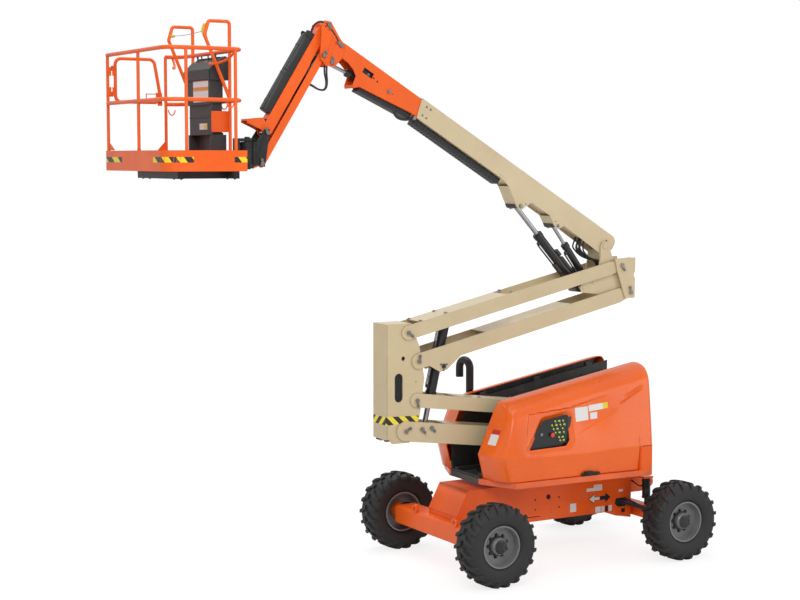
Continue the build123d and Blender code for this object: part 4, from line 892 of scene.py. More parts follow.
for name, outline, material in plates:
    tag = Piece("hood_" + name)
    rings = []
    for lift in label_lift:
        ring = []
        for x, z in outline:
            ring.append((x, -(skin_from(0.5, 0.9, lambda w: (x, w, z)) + lift), z))
        rings.append(ring)
    tag.loft(rings)
    tag.place(material, "hood_right")
front_label_sides = (0.405, 0.525)
for part, z0, z1, material in ((0, 1.326, 1.432, label_white), (1, 1.432, 1.478, label_red)):
    near_edge, far_edge = front_label_sides
    tag = Piece("hood_front_plate_%d" % part)
    rings = []
    for lift in label_lift:
        ring = []
        for w, z in ((near_edge, z0), (far_edge, z0), (far_edge, z1), (near_edge, z1)):
            ring.append((skin_from(-0.4, -1.1, lambda x: (x, w, z)) - lift, -w, z))
        rings.append(ring)
    tag.loft(rings)
    tag.place(material, "hood_right")

# The ground controls sit behind the window: a dark printed panel with keys, a key switch and a red
# stop button, lit only by the daylight that comes through the window.
panel_ink = tinted("control_panel_print", (0.010, 0.012, 0.014, 1), 0.30, 0.0, 0.1)
legend = tinted("control_legend", (0.55, 0.72, 0.05, 1), 0.45, 0.0, 0.05)
stop_red = tinted("stop_button", (0.75, 0.04, 0.03, 1), 0.30, 0.0, 0.05)
panel = Piece("control_panel_face")
panel.prism(tuple((x * 1.04 - 0.012, 1.43 + (z - 1.43) * 1.05) for x, z in window), -0.6420, -0.6352)
panel.place(panel_ink, "turntable", 0.002)
keys = Piece("control_legends")
rows_of_keys = (
    (1.545, (-0.215, -0.165, -0.115)), (1.505, (-0.255, -0.200, -0.150, -0.100)),
    (1.465, (-0.235, -0.185, -0.120)), (1.425, (-0.210, -0.160, -0.105)), (1.375, (-0.165, -0.120)),
    (1.340, (-0.150, -0.105))
)
for z, places in rows_of_keys:
    for index, x in enumerate(places):
        wide = 0.013 if index % 2 else 0.009
        keys.box((x - wide, -0.6428, z - 0.008), (x + wide, -0.6418, z + 0.008))
keys.place(legend, "turntable")
switches = Piece("control_switches")
for z, places in rows_of_keys:
    for x in places:
        switches.bar((x, -0.642, z - 0.019), (x, -0.650, z - 0.019), 0.0055, sides=14)
        switches.bar((x, -0.650, z - 0.019), (x + 0.003, -0.662, z - 0.013), 0.0028, 0.004, sides=10)
switches.bar((-0.390, -0.642, 1.420), (-0.390, -0.652, 1.420), 0.016, sides=24)
switches.place(steel, "turntable", 0.0005)
stop = Piece("control_stop_button")
stop.turned(
    (
        (0.0, 0.0), (0.0, -0.030), (0.016, -0.030), (0.023, -0.026), (0.023, -0.018), (0.012, -0.014),
        (0.012, 0.0)
    ),
    (-0.262, -0.642, 1.405), "Y", 32
)
stop.place(stop_red, "turntable")


# ---------------------------------------------------------------- tower links and upright
# Folded plate links with a rounded edge along each flange, a channel-shaped upright, and pins that
# keeper bars hold with one bolt each. All of it is enamelled in cream after welding.
cream_paint = paint("cream_enamel", (0.60, 0.485, 0.300, 1), (0.545, 0.435, 0.265, 1), 0.34, 0.25)
dress(
    cream_paint, "lower_link_bottom", "lower_link_top", "tower_upright", "upper_link_bottom",
    "upper_link_top", "upper_upright", "main_boom"
)
pins = {
    "upright_low_top": (-1.5893, 1.8002),
    "upright_low_bottom": (-1.7213, 1.4922),
    "upright_up_top": (-1.6913, 2.4992),
    "upright_up_bottom": (-1.5673, 2.2002),
    "upper_top": (0.9919, 3.1014),
    "upper_bottom": (1.1159, 2.8024),
    "boom": (0.7978, 3.3144),
    "tip": (-2.4313, 5.3631),
}


def ahead_of(origin, degrees, ahead, up=0.0):
    """A point in X and Z, ahead of origin along an angle and up square to it."""
    angle = math.radians(degrees)
    return (
        origin[0] + ahead * math.cos(angle) - up * math.sin(angle),
        origin[1] + ahead * math.sin(angle) + up * math.cos(angle)
    )


def turned_outline(origin, degrees, points):
    return [ahead_of(origin, degrees, ahead, up) for ahead, up in points]


def keeper(piece, at, side, face, degrees, reach=0.062):
    """A pin's end, its flat keeper bar and the bolt at the far end of the bar."""
    out = lambda depth: face + side * depth
    piece.bar((at[0], out(-0.004), at[1]), (at[0], out(0.012), at[1]), 0.024, 0.022, 28)
    points = turned_outline(
        at, degrees,
        ((0.008, -0.012), (reach, -0.012), (reach + 0.010, 0.0), (reach, 0.012), (0.008, 0.012))
    )
    piece.prism(points, min(out(0.0), out(0.009)), max(out(0.0), out(0.009)))
    end = ahead_of(at, degrees, reach - 0.006)
    bolt(piece, (end[0], out(0.009), end[1]), (0, side, 0), 0.011, 0.009, 0.002)


pin_end = tinted("pin_end_steel", (0.26, 0.245, 0.235, 1), 0.32, 0.8, 0.2)
link_rows = (
    # name, pin, angle, length, half height, body, first and last point of the folded edge
    ("lower_top", pins["upright_low_top"], -7.5, 2.300, 0.0715, "lower_link_top", 0.06, 2.14),
    ("lower_bottom", pins["upright_low_bottom"], -7.5, 2.300, 0.1025, "lower_link_bottom", 0.06, 2.14),
    ("upper_top", pins["upright_up_top"], 12.65, 2.750, 0.0725, "upper_link_top", 0.06, 2.58),
    ("upper_bottom", pins["upright_up_bottom"], 12.65, 2.750, 0.0785, "upper_link_bottom", 0.10, 2.58),
)
for name, pin, angle, length, half, body, first, last in link_rows:
    edges = Piece("folded_edges_" + name)
    for side in (-1, 1):
        for level in (half - 0.0045, 0.0045 - half):
            if name == "upper_bottom" and level < 0:
                first = 0.52
            start = ahead_of(pin, angle, first, level)
            end = ahead_of(pin, angle, last, level)
            edges.bar((start[0], side * 0.1462, start[1]), (end[0], side * 0.1462, end[1]), 0.0052, sides=12)
    edges.place(cream_paint, body)

clips = (
    # link row, places along it, level above its centre line
    (0, (0.75, 1.30, 1.85), 0.0716),
    (1, (0.70, 1.25), -0.0945),
    (2, (0.16, 0.47, 1.30), 0.0726),
    (3, (1.02, 1.52), -0.0705),
)
for row, places, level in clips:
    name, pin, angle, length, half, body, first, last = link_rows[row]
    clip = Piece("cable_clips_" + name)
    for at in places:
        points = turned_outline(
            pin, angle,
            (
                (at, level), (at + 0.045, level), (at + 0.045, level + 0.004), (at + 0.028, level + 0.004),
                (at + 0.022, level + 0.016), (at + 0.014, level + 0.016), (at + 0.008, level + 0.004),
                (at, level + 0.004)
            )
        )
        clip.prism(points, -0.128, -0.102)
        clip.prism(points, 0.102, 0.128)
    clip.place(steel, body, 0.001)

keeper_rows = (
    # pin, keeper angle
    ("upright_up_top", -38.0),
    ("upright_up_bottom", 82.0),
    ("upright_low_top", -82.0),
    ("upright_low_bottom", 30.0),
)
upright_pins = Piece("upright_pin_keepers")
for name, angle in keeper_rows:
    for side in (-1, 1):
        keeper(upright_pins, pins[name], side, side * 0.158, angle)
upright_pins.place(pin_end, "tower_upright", 0.001)

eye_pins = Piece("lower_link_pin_keepers")
for at, angle in (((-1.4180, 1.5057), -47.0), ((-1.5326, 1.5006), -50.0)):
    for side in (-1, 1):
        keeper(eye_pins, at, side, side * 0.158, angle, 0.052)
eye_pins.place(pin_end, "lower_link_bottom", 0.001)

trunnion_pins = Piece("trunnion_retainers")
for side in (-1, 1):
    for count in range(3):
        angle = math.pi * 2 * count / 3 + 0.5
        bolt(
            trunnion_pins,
            (-1.2703 + 0.041 * math.cos(angle), side * 0.1505, 2.1326 + 0.041 * math.sin(angle)),
            (0, side, 0), 0.008, 0.007, 0.0015
        )
    trunnion_pins.turned(
        ((0.0215, 0.1500 * side), (0.0215, 0.1535 * side), (0.030, 0.1535 * side), (0.030, 0.1500 * side)),
        (-1.2703, 0, 2.1326), "Y", 32
    )
trunnion_pins.place(pin_end, "upper_link_bottom", 0.0008)

# Thin near-black seam lines down the upright's sides, and two holes drawn as near-black discs: painted shade
# inside the holes.
seam = Piece("upright_corner_seams")
for side in (-1, 1):
    seam.box(
        (-1.9345, min(side * 0.1326, side * 0.1334), 1.420),
        (-1.9310, max(side * 0.1326, side * 0.1334), 2.590)
    )
    seam.bar((-1.593, side * 0.1328, 1.991), (-1.593, side * 0.1336, 1.991), 0.006, sides=16)
    seam.bar((-1.742, side * 0.120, 2.237), (-1.742, side * 0.1215, 2.237), 0.0215, sides=24)
seam.place(hole_shade_and_seam_black, "tower_upright")
feet = Piece("upright_bumpers")
for x, z in ((-1.900, 1.4162), (-1.590, 1.4172)):
    feet.box((x - 0.030, -0.105, z - 0.022), (x + 0.022, -0.060, z))
    feet.box((x - 0.030, 0.060, z - 0.022), (x + 0.022, 0.105, z))
feet.place(hose_rubber, "tower_upright", 0.004)

band_side = Piece("upright_hazard_side")
for side in (-1, 1):
    band_side.prism(
        ((-1.9433, 1.566), (-1.566, 1.580), (-1.562, 1.642), (-1.9433, 1.654)),
        min(side * 0.133, side * 0.1336), max(side * 0.133, side * 0.1336)
    )
band_side.prism(((-0.133, 1.568), (0.133, 1.568), (0.133, 1.650), (-0.133, 1.650)), -1.9439, -1.9433, "X")
band_side.place(hazard, "tower_upright")

slot_rim = Piece("upright_slot_lining")
ring = []
for reach in (0.0495, 0.0465):
    loop = []
    for count in range(25):
        angle = math.pi * count / 24
        loop.append((-1.7953 + reach * math.cos(angle), 2.0402 + reach * math.sin(angle)))
    for count in range(25):
        angle = math.pi + math.pi * count / 24
        loop.append((-1.7953 + reach * math.cos(angle), 1.8402 + reach * math.sin(angle)))
    ring.append(loop)
for side in (-1, 1):
    near, far = side * 0.1329, side * 0.1190
    around = ((ring[0], near), (ring[1], near), (ring[1], far), (ring[0], far))
    rows = [[(x, y, z) for x, z in loop] for loop, y in around]
    slot_rim.loft(rows + [rows[0]], False)
slot_rim.place(cream_paint, "tower_upright")
# A near-black sheet inside the slot: painted shade where the slot's inside falls in shadow.
slot_dark = Piece("upright_slot_shadow")
for side in (-1, 1):
    slot_dark.prism(ring[0], *sorted((side * 0.1185, side * 0.1180)))
slot_dark.place(hole_shade_and_seam_black, "tower_upright")


# ---------------------------------------------------------------- upper upright
# Two pairs of plates join the tower to the boom. The outer pair carries the link pins and the inner
# pair the boom pin and the feet of the lift and master cylinders.
upper_pins = Piece("upper_upright_pin_keepers")
for side in (-1, 1):
    keeper(upper_pins, pins["upper_top"], side, side * 0.178, -62.0)
    keeper(upper_pins, pins["upper_bottom"], side, side * 0.178, 105.0)
upper_pins.place(pin_end, "upper_upright", 0.001)
ribs = Piece("upper_upright_ribs")
for side in (-1, 1):
    inner, outer = sorted((side * 0.1205, side * 0.1545))
    ribs.prism(((0.945, 3.165), (1.130, 3.175), (1.130, 3.183), (0.945, 3.173)), inner, outer)
    ribs.prism(((1.090, 2.760), (1.160, 2.760), (1.160, 2.752), (1.090, 2.752)), inner, outer)
ribs.place(cream_paint, "upper_upright", 0.001)


# ---------------------------------------------------------------- main boom
# A box of thin plate with deep lugs for the two cylinders. Cross plates close the lugs' front faces,
# and bolted pads guide the fly section at the mouth. Its hoses run in a black carrier underneath.
boom_start = (0.875, 3.443)


def on_boom(ahead, down):
    """A point in X and Z, given along the boom and down from its top line."""
    return ahead_of(boom_start, 180.0 - 30.97, ahead, down)


def boom_outline(*points):
    return [on_boom(*point) for point in points]


cross = Piece("boom_lug_cross_plates")
cross.prism(boom_outline((1.404, 0.229), (1.412, 0.229), (1.212, 0.362), (1.202, 0.362)), -0.094, 0.094)
cross.prism(boom_outline((0.782, 0.229), (0.790, 0.229), (0.680, 0.294), (0.670, 0.294)), -0.094, 0.094)
cross.place(cream_paint, "main_boom", 0.001)
pads = Piece("boom_lug_bumpers")
pads.prism(boom_outline((1.196, 0.3625), (1.236, 0.338), (1.241, 0.350), (1.200, 0.3745)), -0.090, 0.090)
pads.prism(boom_outline((0.664, 0.2945), (0.704, 0.272), (0.709, 0.283), (0.668, 0.3060)), -0.090, 0.090)
pads.place(hose_rubber, "main_boom", 0.002)

# Holes in the boom's sides, drawn as near-black discs: painted shade for their insides.
marks = Piece("boom_holes")
for side in (-1, 1):
    near, far = side * 0.0985, side * 0.1003
    for ahead, down, radius in ((1.123, 0.277, 0.007), (0.697, 0.243, 0.006), (0.002, 0.085, 0.009)):
        at = on_boom(ahead, down)
        marks.bar((at[0], near, at[1]), (at[0], far, at[1]), radius, sides=20)
    for lead in (0.0, 0.022, 0.048):
        at = on_boom(1.570 - lead, 0.178 + lead * 0.1)
        marks.bar((at[0], near, at[1]), (at[0], far, at[1]), 0.0032, sides=12)
marks.place(hole_shade_and_seam_black, "main_boom")
fixings = Piece("boom_pad_bolts")
for side in (-1, 1):
    for ahead in (2.627, 2.680):
        for down in (0.049, 0.149):
            at = on_boom(ahead, down)
            bolt(fixings, (at[0], side * 0.100, at[1]), (0, side, 0), 0.0085, 0.004, 0.001)
    for ahead in (2.627, 2.680):
        for across in (-0.045, 0.045):
            at = on_boom(ahead, 0.0)
            bolt(fixings, (at[0], across, at[1]), (0.5146, 0, 0.857), 0.0085, 0.004, 0.001)
fixings.place(pin_end, "main_boom", 0.0006)
boom_pins = Piece("boom_cylinder_pins")
for side in (-1, 1):
    for ahead, down, radius in ((1.171, 0.330, 0.017), (0.644, 0.269, 0.014)):
        at = on_boom(ahead, down)
        bolt(boom_pins, (at[0], side * 0.107, at[1]), (0, side, 0), radius, 0.008, 0.002)
boom_pins.place(pin_end, "main_boom", 0.001)
edge = Piece("boom_top_edges")
for side in (-1, 1):
    start, end = on_boom(-0.055, 0.0045), on_boom(2.765, 0.0045)
    edge.bar((start[0], side * 0.0958, start[1]), (end[0], side * 0.0958, end[1]), 0.0048, sides=12)
edge.place(cream_paint, "main_boom")
mouth = Piece("boom_mouth_band")
mouth.prism(boom_outline((2.700, -0.003), (2.765, -0.003), (2.766, 0.0), (2.700, 0.0)), -0.094, 0.094)
mouth.place(cream_paint, "main_boom", 0.001)
tail_strip = Piece("boom_tail_strip")
tail_strip.prism(
    boom_outline((-0.112, 0.040), (-0.120, 0.040), (-0.120, 0.128), (-0.112, 0.128)), -0.075, 0.075
)
for down in (0.050, 0.070, 0.090, 0.110):
    tail_strip.prism(
        boom_outline((-0.120, down), (-0.130, down), (-0.130, down + 0.010), (-0.120, down + 0.010)),
        -0.080, 0.080
    )
tail_strip.place(hose_rubber, "main_boom", 0.001)

track_black = tinted("hose_carrier_plastic", (0.010, 0.010, 0.011, 1), 0.5, 0.0, 0.2, 50.0)
dress(track_black, "boom_hose_carrier", "fly_hose_carrier", "jib_hose_carrier")
chain = Piece("boom_carrier_links")
for count in range(29):
    ahead = 1.530 + 0.041 * count
    chain.prism(
        boom_outline((ahead, 0.206), (ahead + 0.032, 0.206), (ahead + 0.032, 0.2665), (ahead, 0.2665)),
        -0.0625, -0.0601
    )
    chain.prism(
        boom_outline((ahead, 0.206), (ahead + 0.032, 0.206), (ahead + 0.032, 0.2665), (ahead, 0.2665)),
        0.0601, 0.0625
    )
    chain.prism(
        boom_outline((ahead, 0.2651), (ahead + 0.032, 0.2651), (ahead + 0.032, 0.2675), (ahead, 0.2675)),
        -0.060, 0.060
    )
chain.place(track_black, "main_boom", 0.002)


# ---------------------------------------------------------------- cylinders
# Black barrels with a screwed gland and welded port blocks, rods with a hard chrome finish, and steel
# tubes that bring oil to the rod end. Each barrel's trim rides with it.
chrome = tinted("hard_chrome", (0.36, 0.36, 0.37, 1), 0.16, 0.9, 0.05)
dress(
    chrome, "tower_cylinder_rod", "lift_cylinder_rod", "master_cylinder_rod", "slave_cylinder_rod",
    "jib_cylinder_rod"
)
cylinder_black = paint("cylinder_enamel", (0.011, 0.011, 0.012, 1), (0.018, 0.018, 0.019, 1), 0.34, 0.3)
dress(
    cylinder_black, "tower_cylinder_barrel", "lift_cylinder_barrel", "master_cylinder_barrel",
    "slave_cylinder_barrel", "jib_cylinder_barrel"
)
cylinder_rows = (
    # name, foot, rod's eye, barrel's far end, barrel radius, rod radius, side of the tubes and
    # near end of the trim
    ("tower", (-1.2703, 2.1326), (-1.4180, 1.5057), 0.330, 0.052, 0.028, -1, -0.440),
    ("lift", (0.520, 2.870), (-0.2989, 3.7626), 0.800, 0.048, 0.026, 1, 0.120),
    ("master", (0.650, 2.930), (0.1844, 3.5437), 0.520, 0.038, 0.020, 1, 0.100),
    ("slave", (-1.8855, 4.9259), (-2.537, 5.196), 0.480, 0.034, 0.018, -1, 0.110),
    ("jib", (-2.626, 5.261), (-3.2288, 4.5112), 0.790, 0.030, 0.018, 1, 0.120),
)
square = ((-1, -1), (1, -1), (1, 1), (-1, 1))
for name, foot, eye, length, radius, rod_radius, hand, near in cylinder_rows:
    run = Vector((eye[0] - foot[0], 0, eye[1] - foot[1])).normalized()
    over = Vector((-run.z, 0, run.x)) * hand
    base = Vector((foot[0], 0, foot[1]))
    body = name + "_cylinder_barrel"
    trim = Piece(name + "_cylinder_fittings")
    trim.bar(base + run * (length - 0.055), base + run * (length - 0.004), radius + 0.006, sides=40)
    trim.bar(base + run * (length - 0.004), base + run * (length + 0.004), rod_radius + 0.012, sides=32)
    trim.bar(base + run * near, base + run * (near + 0.030), radius + 0.003, sides=40)
    for at in (near + 0.050, length - 0.095):
        block_low = base + run * at + over * (radius - 0.006)
        across = Vector((0, 1, 0))
        rings = []
        for lift in (0.0, 0.022):
            centre = block_low + over * lift
            rings.append([centre + run * a * 0.018 + across * b * 0.018 for a, b in square])
        trim.loft(rings)
        trim.bar(block_low + over * 0.016, block_low + over * 0.034, 0.009, sides=6)
    trim.place(cylinder_black, body, 0.002)
    lift_off = over * (radius + 0.020)
    for place_y in (-0.010, 0.010):
        shift = Vector((0, place_y, 0))
        route = []
        for at, out in (
            (length - 0.095, 1.0), (length - 0.125, 1.06), (length * 0.5, 1.0),
            (near + 0.080, 1.06), (near + 0.050, 1.0),
        ):
            route.append(base + run * at + lift_off * out + shift)
        tube_name = name + "_cylinder_tube_" + ("a" if place_y < 0 else "b")
        hose(tube_name, route, 0.0045, body, cylinder_black)
valve = Piece("lift_cylinder_valve")
aim = Vector((-0.2989 - 0.520, 0, 3.7626 - 2.870)).normalized()
left = Vector((-aim.z, 0, aim.x))
foot_at = Vector((0.520, 0, 2.870))
for start, end, inner, outer, half in (
    (0.42, 0.50, -0.046, -0.080, 0.024), (0.26, 0.40, 0.044, 0.072, 0.030),
    (0.16, 0.40, -0.040, -0.072, 0.032)
):
    rings = []
    for depth in (inner, outer):
        corners = ((start, -half), (end, -half), (end, half), (start, half))
        rings.append([foot_at + aim * a + left * depth + Vector((0, b, 0)) for a, b in corners])
    valve.loft(rings)
valve.place(cylinder_black, "lift_cylinder_barrel", 0.003)


# ---------------------------------------------------------------- fly section
# The sliding section is a painted box that ends in deep side plates. A black box with the platform's
# hoses shows through its window, and a second plate stiffens its sides at the pin.
dress(orange_paint, "boom_fly", "jib_upright", "jib_arm", "jib_lower_link")
doubler = Piece("fly_doubler_plates")
for side in (-1, 1):
    low, high = sorted((side * 0.090, side * 0.0915))
    doubler.prism(
        boom_outline(
            (3.568, 0.012), (3.790, 0.012), (3.783, 0.055), (3.783, 0.150), (3.660, 0.152), (3.585, 0.176),
            (3.528, 0.212), (3.512, 0.305), (3.486, 0.325), (3.440, 0.284)
        ),
        low, high
    )
doubler.place(orange_paint, "boom_fly", 0.0008)
foot_pads = Piece("fly_foot_pads")
foot_pads.prism(
    boom_outline(
        (3.440, 0.284), (3.486, 0.325), (3.508, 0.307), (3.514, 0.312), (3.490, 0.334), (3.437, 0.292)
    ),
    -0.0775, 0.0775
)
foot_pads.place(orange_paint, "boom_fly", 0.002)
hose_box = Piece("fly_hose_box")
hose_box.prism(boom_outline((3.345, 0.078), (3.500, 0.078), (3.500, 0.160), (3.345, 0.160)), -0.060, 0.060)
hose_box.place(track_black, "boom_fly", 0.004)
# Holes in the fly's sides, drawn as near-black diamonds and a disc: painted shade for their insides.
fly_marks = Piece("fly_side_holes")
for side in (-1, 1):
    low, high = sorted((side * 0.0885, side * 0.0904))
    for ahead, down in ((3.345, 0.128), (3.293, 0.134)):
        fly_marks.prism(
            boom_outline(
                (ahead - 0.012, down), (ahead, down - 0.012), (ahead + 0.012, down), (ahead, down + 0.012)
            ),
            low, high
        )
    at = on_boom(3.080, 0.148)
    fly_marks.bar((at[0], low, at[1]), (at[0], high, at[1]), 0.006, sides=16)
fly_marks.place(hole_shade_and_seam_black, "boom_fly")
window_frame = Piece("fly_window_bolts")
for side in (-1, 1):
    at = on_boom(3.130, 0.149)
    bolt(window_frame, (at[0], side * 0.096, at[1]), (0, side, 0), 0.016, 0.009, 0.002)
    at = on_boom(3.400, 0.120)
    bolt(window_frame, (at[0], side * 0.060, at[1]), (0, side, 0), 0.010, 0.006, 0.002)
window_frame.place(pin_end, "boom_fly", 0.0008)
fly_edges = Piece("fly_top_edges")
for side in (-1, 1):
    start, end = on_boom(2.780, 0.0130), on_boom(3.790, 0.0130)
    fly_edges.bar((start[0], side * 0.0860, start[1]), (end[0], side * 0.0860, end[1]), 0.0046, sides=12)
fly_edges.place(orange_paint, "boom_fly")

fly_cover = Piece("fly_carrier_links")
for count in range(7):
    ahead = 2.800 + 0.041 * count
    for inner, outer in ((-0.0625, -0.0601), (0.0601, 0.0625)):
        drop = max(0.0, (ahead - 2.800) * 0.143)
        fly_cover.prism(
            boom_outline((ahead, 0.198), (ahead + 0.032, 0.198), (ahead + 0.032, 0.2540), (ahead, 0.2540)),
            inner, outer
        )
fly_cover.place(track_black, "boom_fly", 0.001)
fitting = Piece("fly_hose_fittings")
fitting.bar((-2.430, -0.0915, 5.352), (-2.430, -0.1080, 5.352), 0.020, sides=6)
fitting.bar((-2.446, -0.100, 5.372), (-2.455, -0.100, 5.392), 0.010, 0.008, 12)
fitting.place(pin_end, "boom_fly", 0.001)
clamp = Piece("boom_mouth_clamp")
clamp.prism(boom_outline((2.735, 0.205), (2.765, 0.205), (2.765, 0.240), (2.735, 0.240)), -0.118, -0.060)
clamp.place(steel, "main_boom", 0.003)

# ---------------------------------------------------------------- jib
# Two cast-edged plates carry the jib on the fly's pin. The jib is a folded channel with a link beneath
# it, a cylinder between them, and its hoses in a rounded carrier on top.
rib_rows = (
    # top point, bottom point of a folded edge on each upright plate
    ((-2.505, 5.458), (-2.622, 5.189)),
    ((-2.478, 5.440), (-2.590, 5.180)),
)
jib_ribs = Piece("jib_upright_folds")
for side in (-1, 1):
    (ax, az), (bx, bz) = rib_rows[0]
    jib_ribs.bar((ax, side * 0.1125, az), (bx, side * 0.1125, bz), 0.007, sides=14)
    low, high = sorted((side * 0.1100, side * 0.1135))
    jib_ribs.prism(
        ((-2.478, 5.395), (-2.452, 5.330), (-2.505, 5.170), (-2.580, 5.168), (-2.590, 5.190)), low, high
    )
jib_ribs.place(orange_paint, "jib_upright", 0.001)
# An opening in each upright plate, drawn as a near-black triangle: painted shade for its inside.
triangle = Piece("jib_upright_openings")
for side in (-1, 1):
    low, high = sorted((side * 0.1085, side * 0.1104))
    triangle.prism(((-2.612, 5.552), (-2.588, 5.548), (-2.604, 5.530)), low, high)
triangle.place(hole_shade_and_seam_black, "jib_upright")
jib_pins = Piece("jib_upright_pin_keepers")
for side in (-1, 1):
    keeper(jib_pins, (-2.567, 5.561), side, side * 0.1165, -75.0, 0.045)
    keeper(jib_pins, (-2.626, 5.261), side, side * 0.1165, 55.0, 0.045)
    keeper(jib_pins, (-2.537, 5.196), side, side * 0.1165, 80.0, 0.050)
    keeper(jib_pins, pins["tip"], side, side * 0.1165, 150.0, 0.055)
jib_pins.place(pin_end, "jib_upright", 0.0008)

jib_heading = 180.0 + 57.77
jib_root = (-2.567, 5.561)
low_root = (-2.626, 5.261)


def on_jib(ahead, up, root=jib_root):
    """A point in X and Z along the jib from a pin, and up square to it."""
    return ahead_of(root, jib_heading, ahead, -up)


jib_edges = Piece("jib_arm_edges")
for side in (-1, 1):
    for up, first in ((0.0505, 0.07), (-0.0505, 0.46)):
        start, end = on_jib(first, up), on_jib(1.18, up)
        jib_edges.bar((start[0], side * 0.0560, start[1]), (end[0], side * 0.0560, end[1]), 0.0046, sides=12)
jib_edges.place(orange_paint, "jib_arm")
low_edges = Piece("jib_link_edges")
for side in (-1, 1):
    for up in (0.0335, -0.0335):
        start, end = on_jib(0.04, up, low_root), on_jib(1.20, up, low_root)
        low_edges.bar((start[0], side * 0.0700, start[1]), (end[0], side * 0.0700, end[1]), 0.0046, sides=12)
low_edges.place(orange_paint, "jib_lower_link")
cover = Piece("jib_carrier_cover")
section = (
    (-0.0515, 0.0), (-0.0515, 0.060), (-0.046, 0.078), (-0.034, 0.0905), (0.034, 0.0905), (0.046, 0.078),
    (0.0515, 0.060), (0.0515, 0.0)
)


def carrier_ring(ahead, foot, taller, wider):
    """The carrier's outline at one place along the jib."""
    ring = []
    for across, rise in section:
        x, z = on_jib(ahead, foot + rise * taller)
        ring.append((x, across * wider, z))
    return ring


rings = []
for ahead in (0.1855, 0.195, 0.600, 0.605, 0.610, 1.050, 1.0595):
    shrink = 0.92 if ahead in (0.1855, 0.605, 1.0595) else 1.0
    narrow = 0.985 if shrink < 1 else 1.0
    rings.append(carrier_ring(ahead, 0.0552, shrink, narrow))
cover.loft(rings)
piece = cover.place(track_black, "jib_arm", 0.003)
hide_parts("jib_hose_carrier")
straps = Piece("jib_carrier_straps")
for ahead in (0.30, 0.62, 0.94):
    rings = []
    for along in (ahead, ahead + 0.024):
        rings.append(carrier_ring(along, 0.0556, 1.012, 1.02))
    straps.loft(rings)
straps.place(track_black, "jib_arm", 0.001)
carrier_ears = Piece("jib_carrier_brackets")
for side in (-1, 1):
    points = [
        on_jib(*point)
        for point in (
            (0.150, 0.056), (0.215, 0.056), (0.215, 0.120), (0.190, 0.150), (0.160, 0.150), (0.150, 0.120)
        )
    ]
    low, high = sorted((side * 0.0525, side * 0.0565))
    carrier_ears.prism(points, low, high)
carrier_ears.place(black_paint, "jib_arm", 0.001)
arm_pins = Piece("jib_end_pin_keepers")
for side in (-1, 1):
    keeper(arm_pins, (-3.2288, 4.5112), side, side * 0.1015, 120.0, 0.045)
    keeper(arm_pins, (-3.2878, 4.2112), side, side * 0.1015, 100.0, 0.045)
arm_pins.place(pin_end, "jib_end", 0.0008)
casting_black = paint("casting_enamel", (0.013, 0.013, 0.014, 1), (0.021, 0.021, 0.022, 1), 0.46, 0.12, 0.006)
dress(casting_black, "jib_end_casting", "platform_support")
rotator = Piece("rotator_rings")
rotator.turned(((0.0803, 4.224), (0.0860, 4.228), (0.0860, 4.252), (0.0803, 4.256)), (-3.400, 0, 0), "Z", 64)
rotator.turned(((0.0803, 4.366), (0.0860, 4.370), (0.0860, 4.392), (0.0803, 4.396)), (-3.400, 0, 0), "Z", 64)
for count in range(8):
    angle = math.pi * 2 * count / 8 + 0.2
    bolt(
        rotator, (-3.400 + 0.0595 * math.cos(angle), 0.0595 * math.sin(angle), 4.4205 - 0.0005), (0, 0, 1),
        0.0055, 0.0035
    )
rotator.place(casting_black, "jib_end", 0.001)
cast_ribs = Piece("casting_ribs")
for side in (-1, 1):
    low, high = sorted((side * 0.0945, side * 0.1000))
    cast_ribs.prism(((-3.260, 4.490), (-3.248, 4.482), (-3.330, 4.270), (-3.342, 4.276)), low, high)
    cast_ribs.prism(((-3.352, 4.405), (-3.340, 4.405), (-3.340, 4.215), (-3.352, 4.215)), low, high)
cast_ribs.place(casting_black, "jib_end", 0.0015)

tip_route = (
    (-2.452, -0.1035, 5.385), (-2.500, -0.104, 5.470), (-2.590, -0.104, 5.575), (-2.672, -0.085, 5.595),
    (-2.730, -0.050, 5.520), (-2.735, -0.020, 5.410)
)
flexing_hose("jib_tip_hose_a", tip_route, 0.011)
for index, (shift, y) in enumerate(((0.0, -0.040), (0.040, -0.015))):
    route = (
        (-2.575 + shift * 0.9, y, 5.230), (-2.590 + shift, y, 5.110), (-2.560 + shift * 0.6, y, 5.010),
        (-2.575 + shift * 0.5, y, 4.930), (-2.650 + shift * 0.4, y, 4.930),
        (-2.735, y, 4.985), (-2.790, y, 5.000),
    )
    flexing_hose("jib_hanging_hose_%d" % index, route, 0.0095)
flexing_hose(
    "fly_loop_hose",
    (
        (-1.800, -0.050, 4.795), (-1.815, -0.055, 4.735), (-1.780, -0.060, 4.670), (-1.700, -0.065, 4.648),
        (-1.600, -0.070, 4.660), (-1.560, -0.075, 4.650)
    ),
    0.014
)
for index, y in enumerate((-0.060, -0.036, -0.012, 0.012, 0.036, 0.060)):
    top = on_boom(0.250 + 0.02 * (index % 2), 0.190)
    mid = on_boom(0.170 + 0.03 * (index % 3), 0.330)
    low = on_boom(0.060 + 0.02 * (index % 2), 0.350)
    flexing_hose(
        "boom_pivot_hose_%d" % index,
        (
            (top[0], y, top[1]), (mid[0] - 0.02, y, mid[1] + 0.05), (mid[0], y, mid[1]),
            (low[0], y * 1.05, low[1]), (0.810, y * 1.1, 3.150), (0.830, y * 1.1, 3.080)
        ),
        0.009
    )


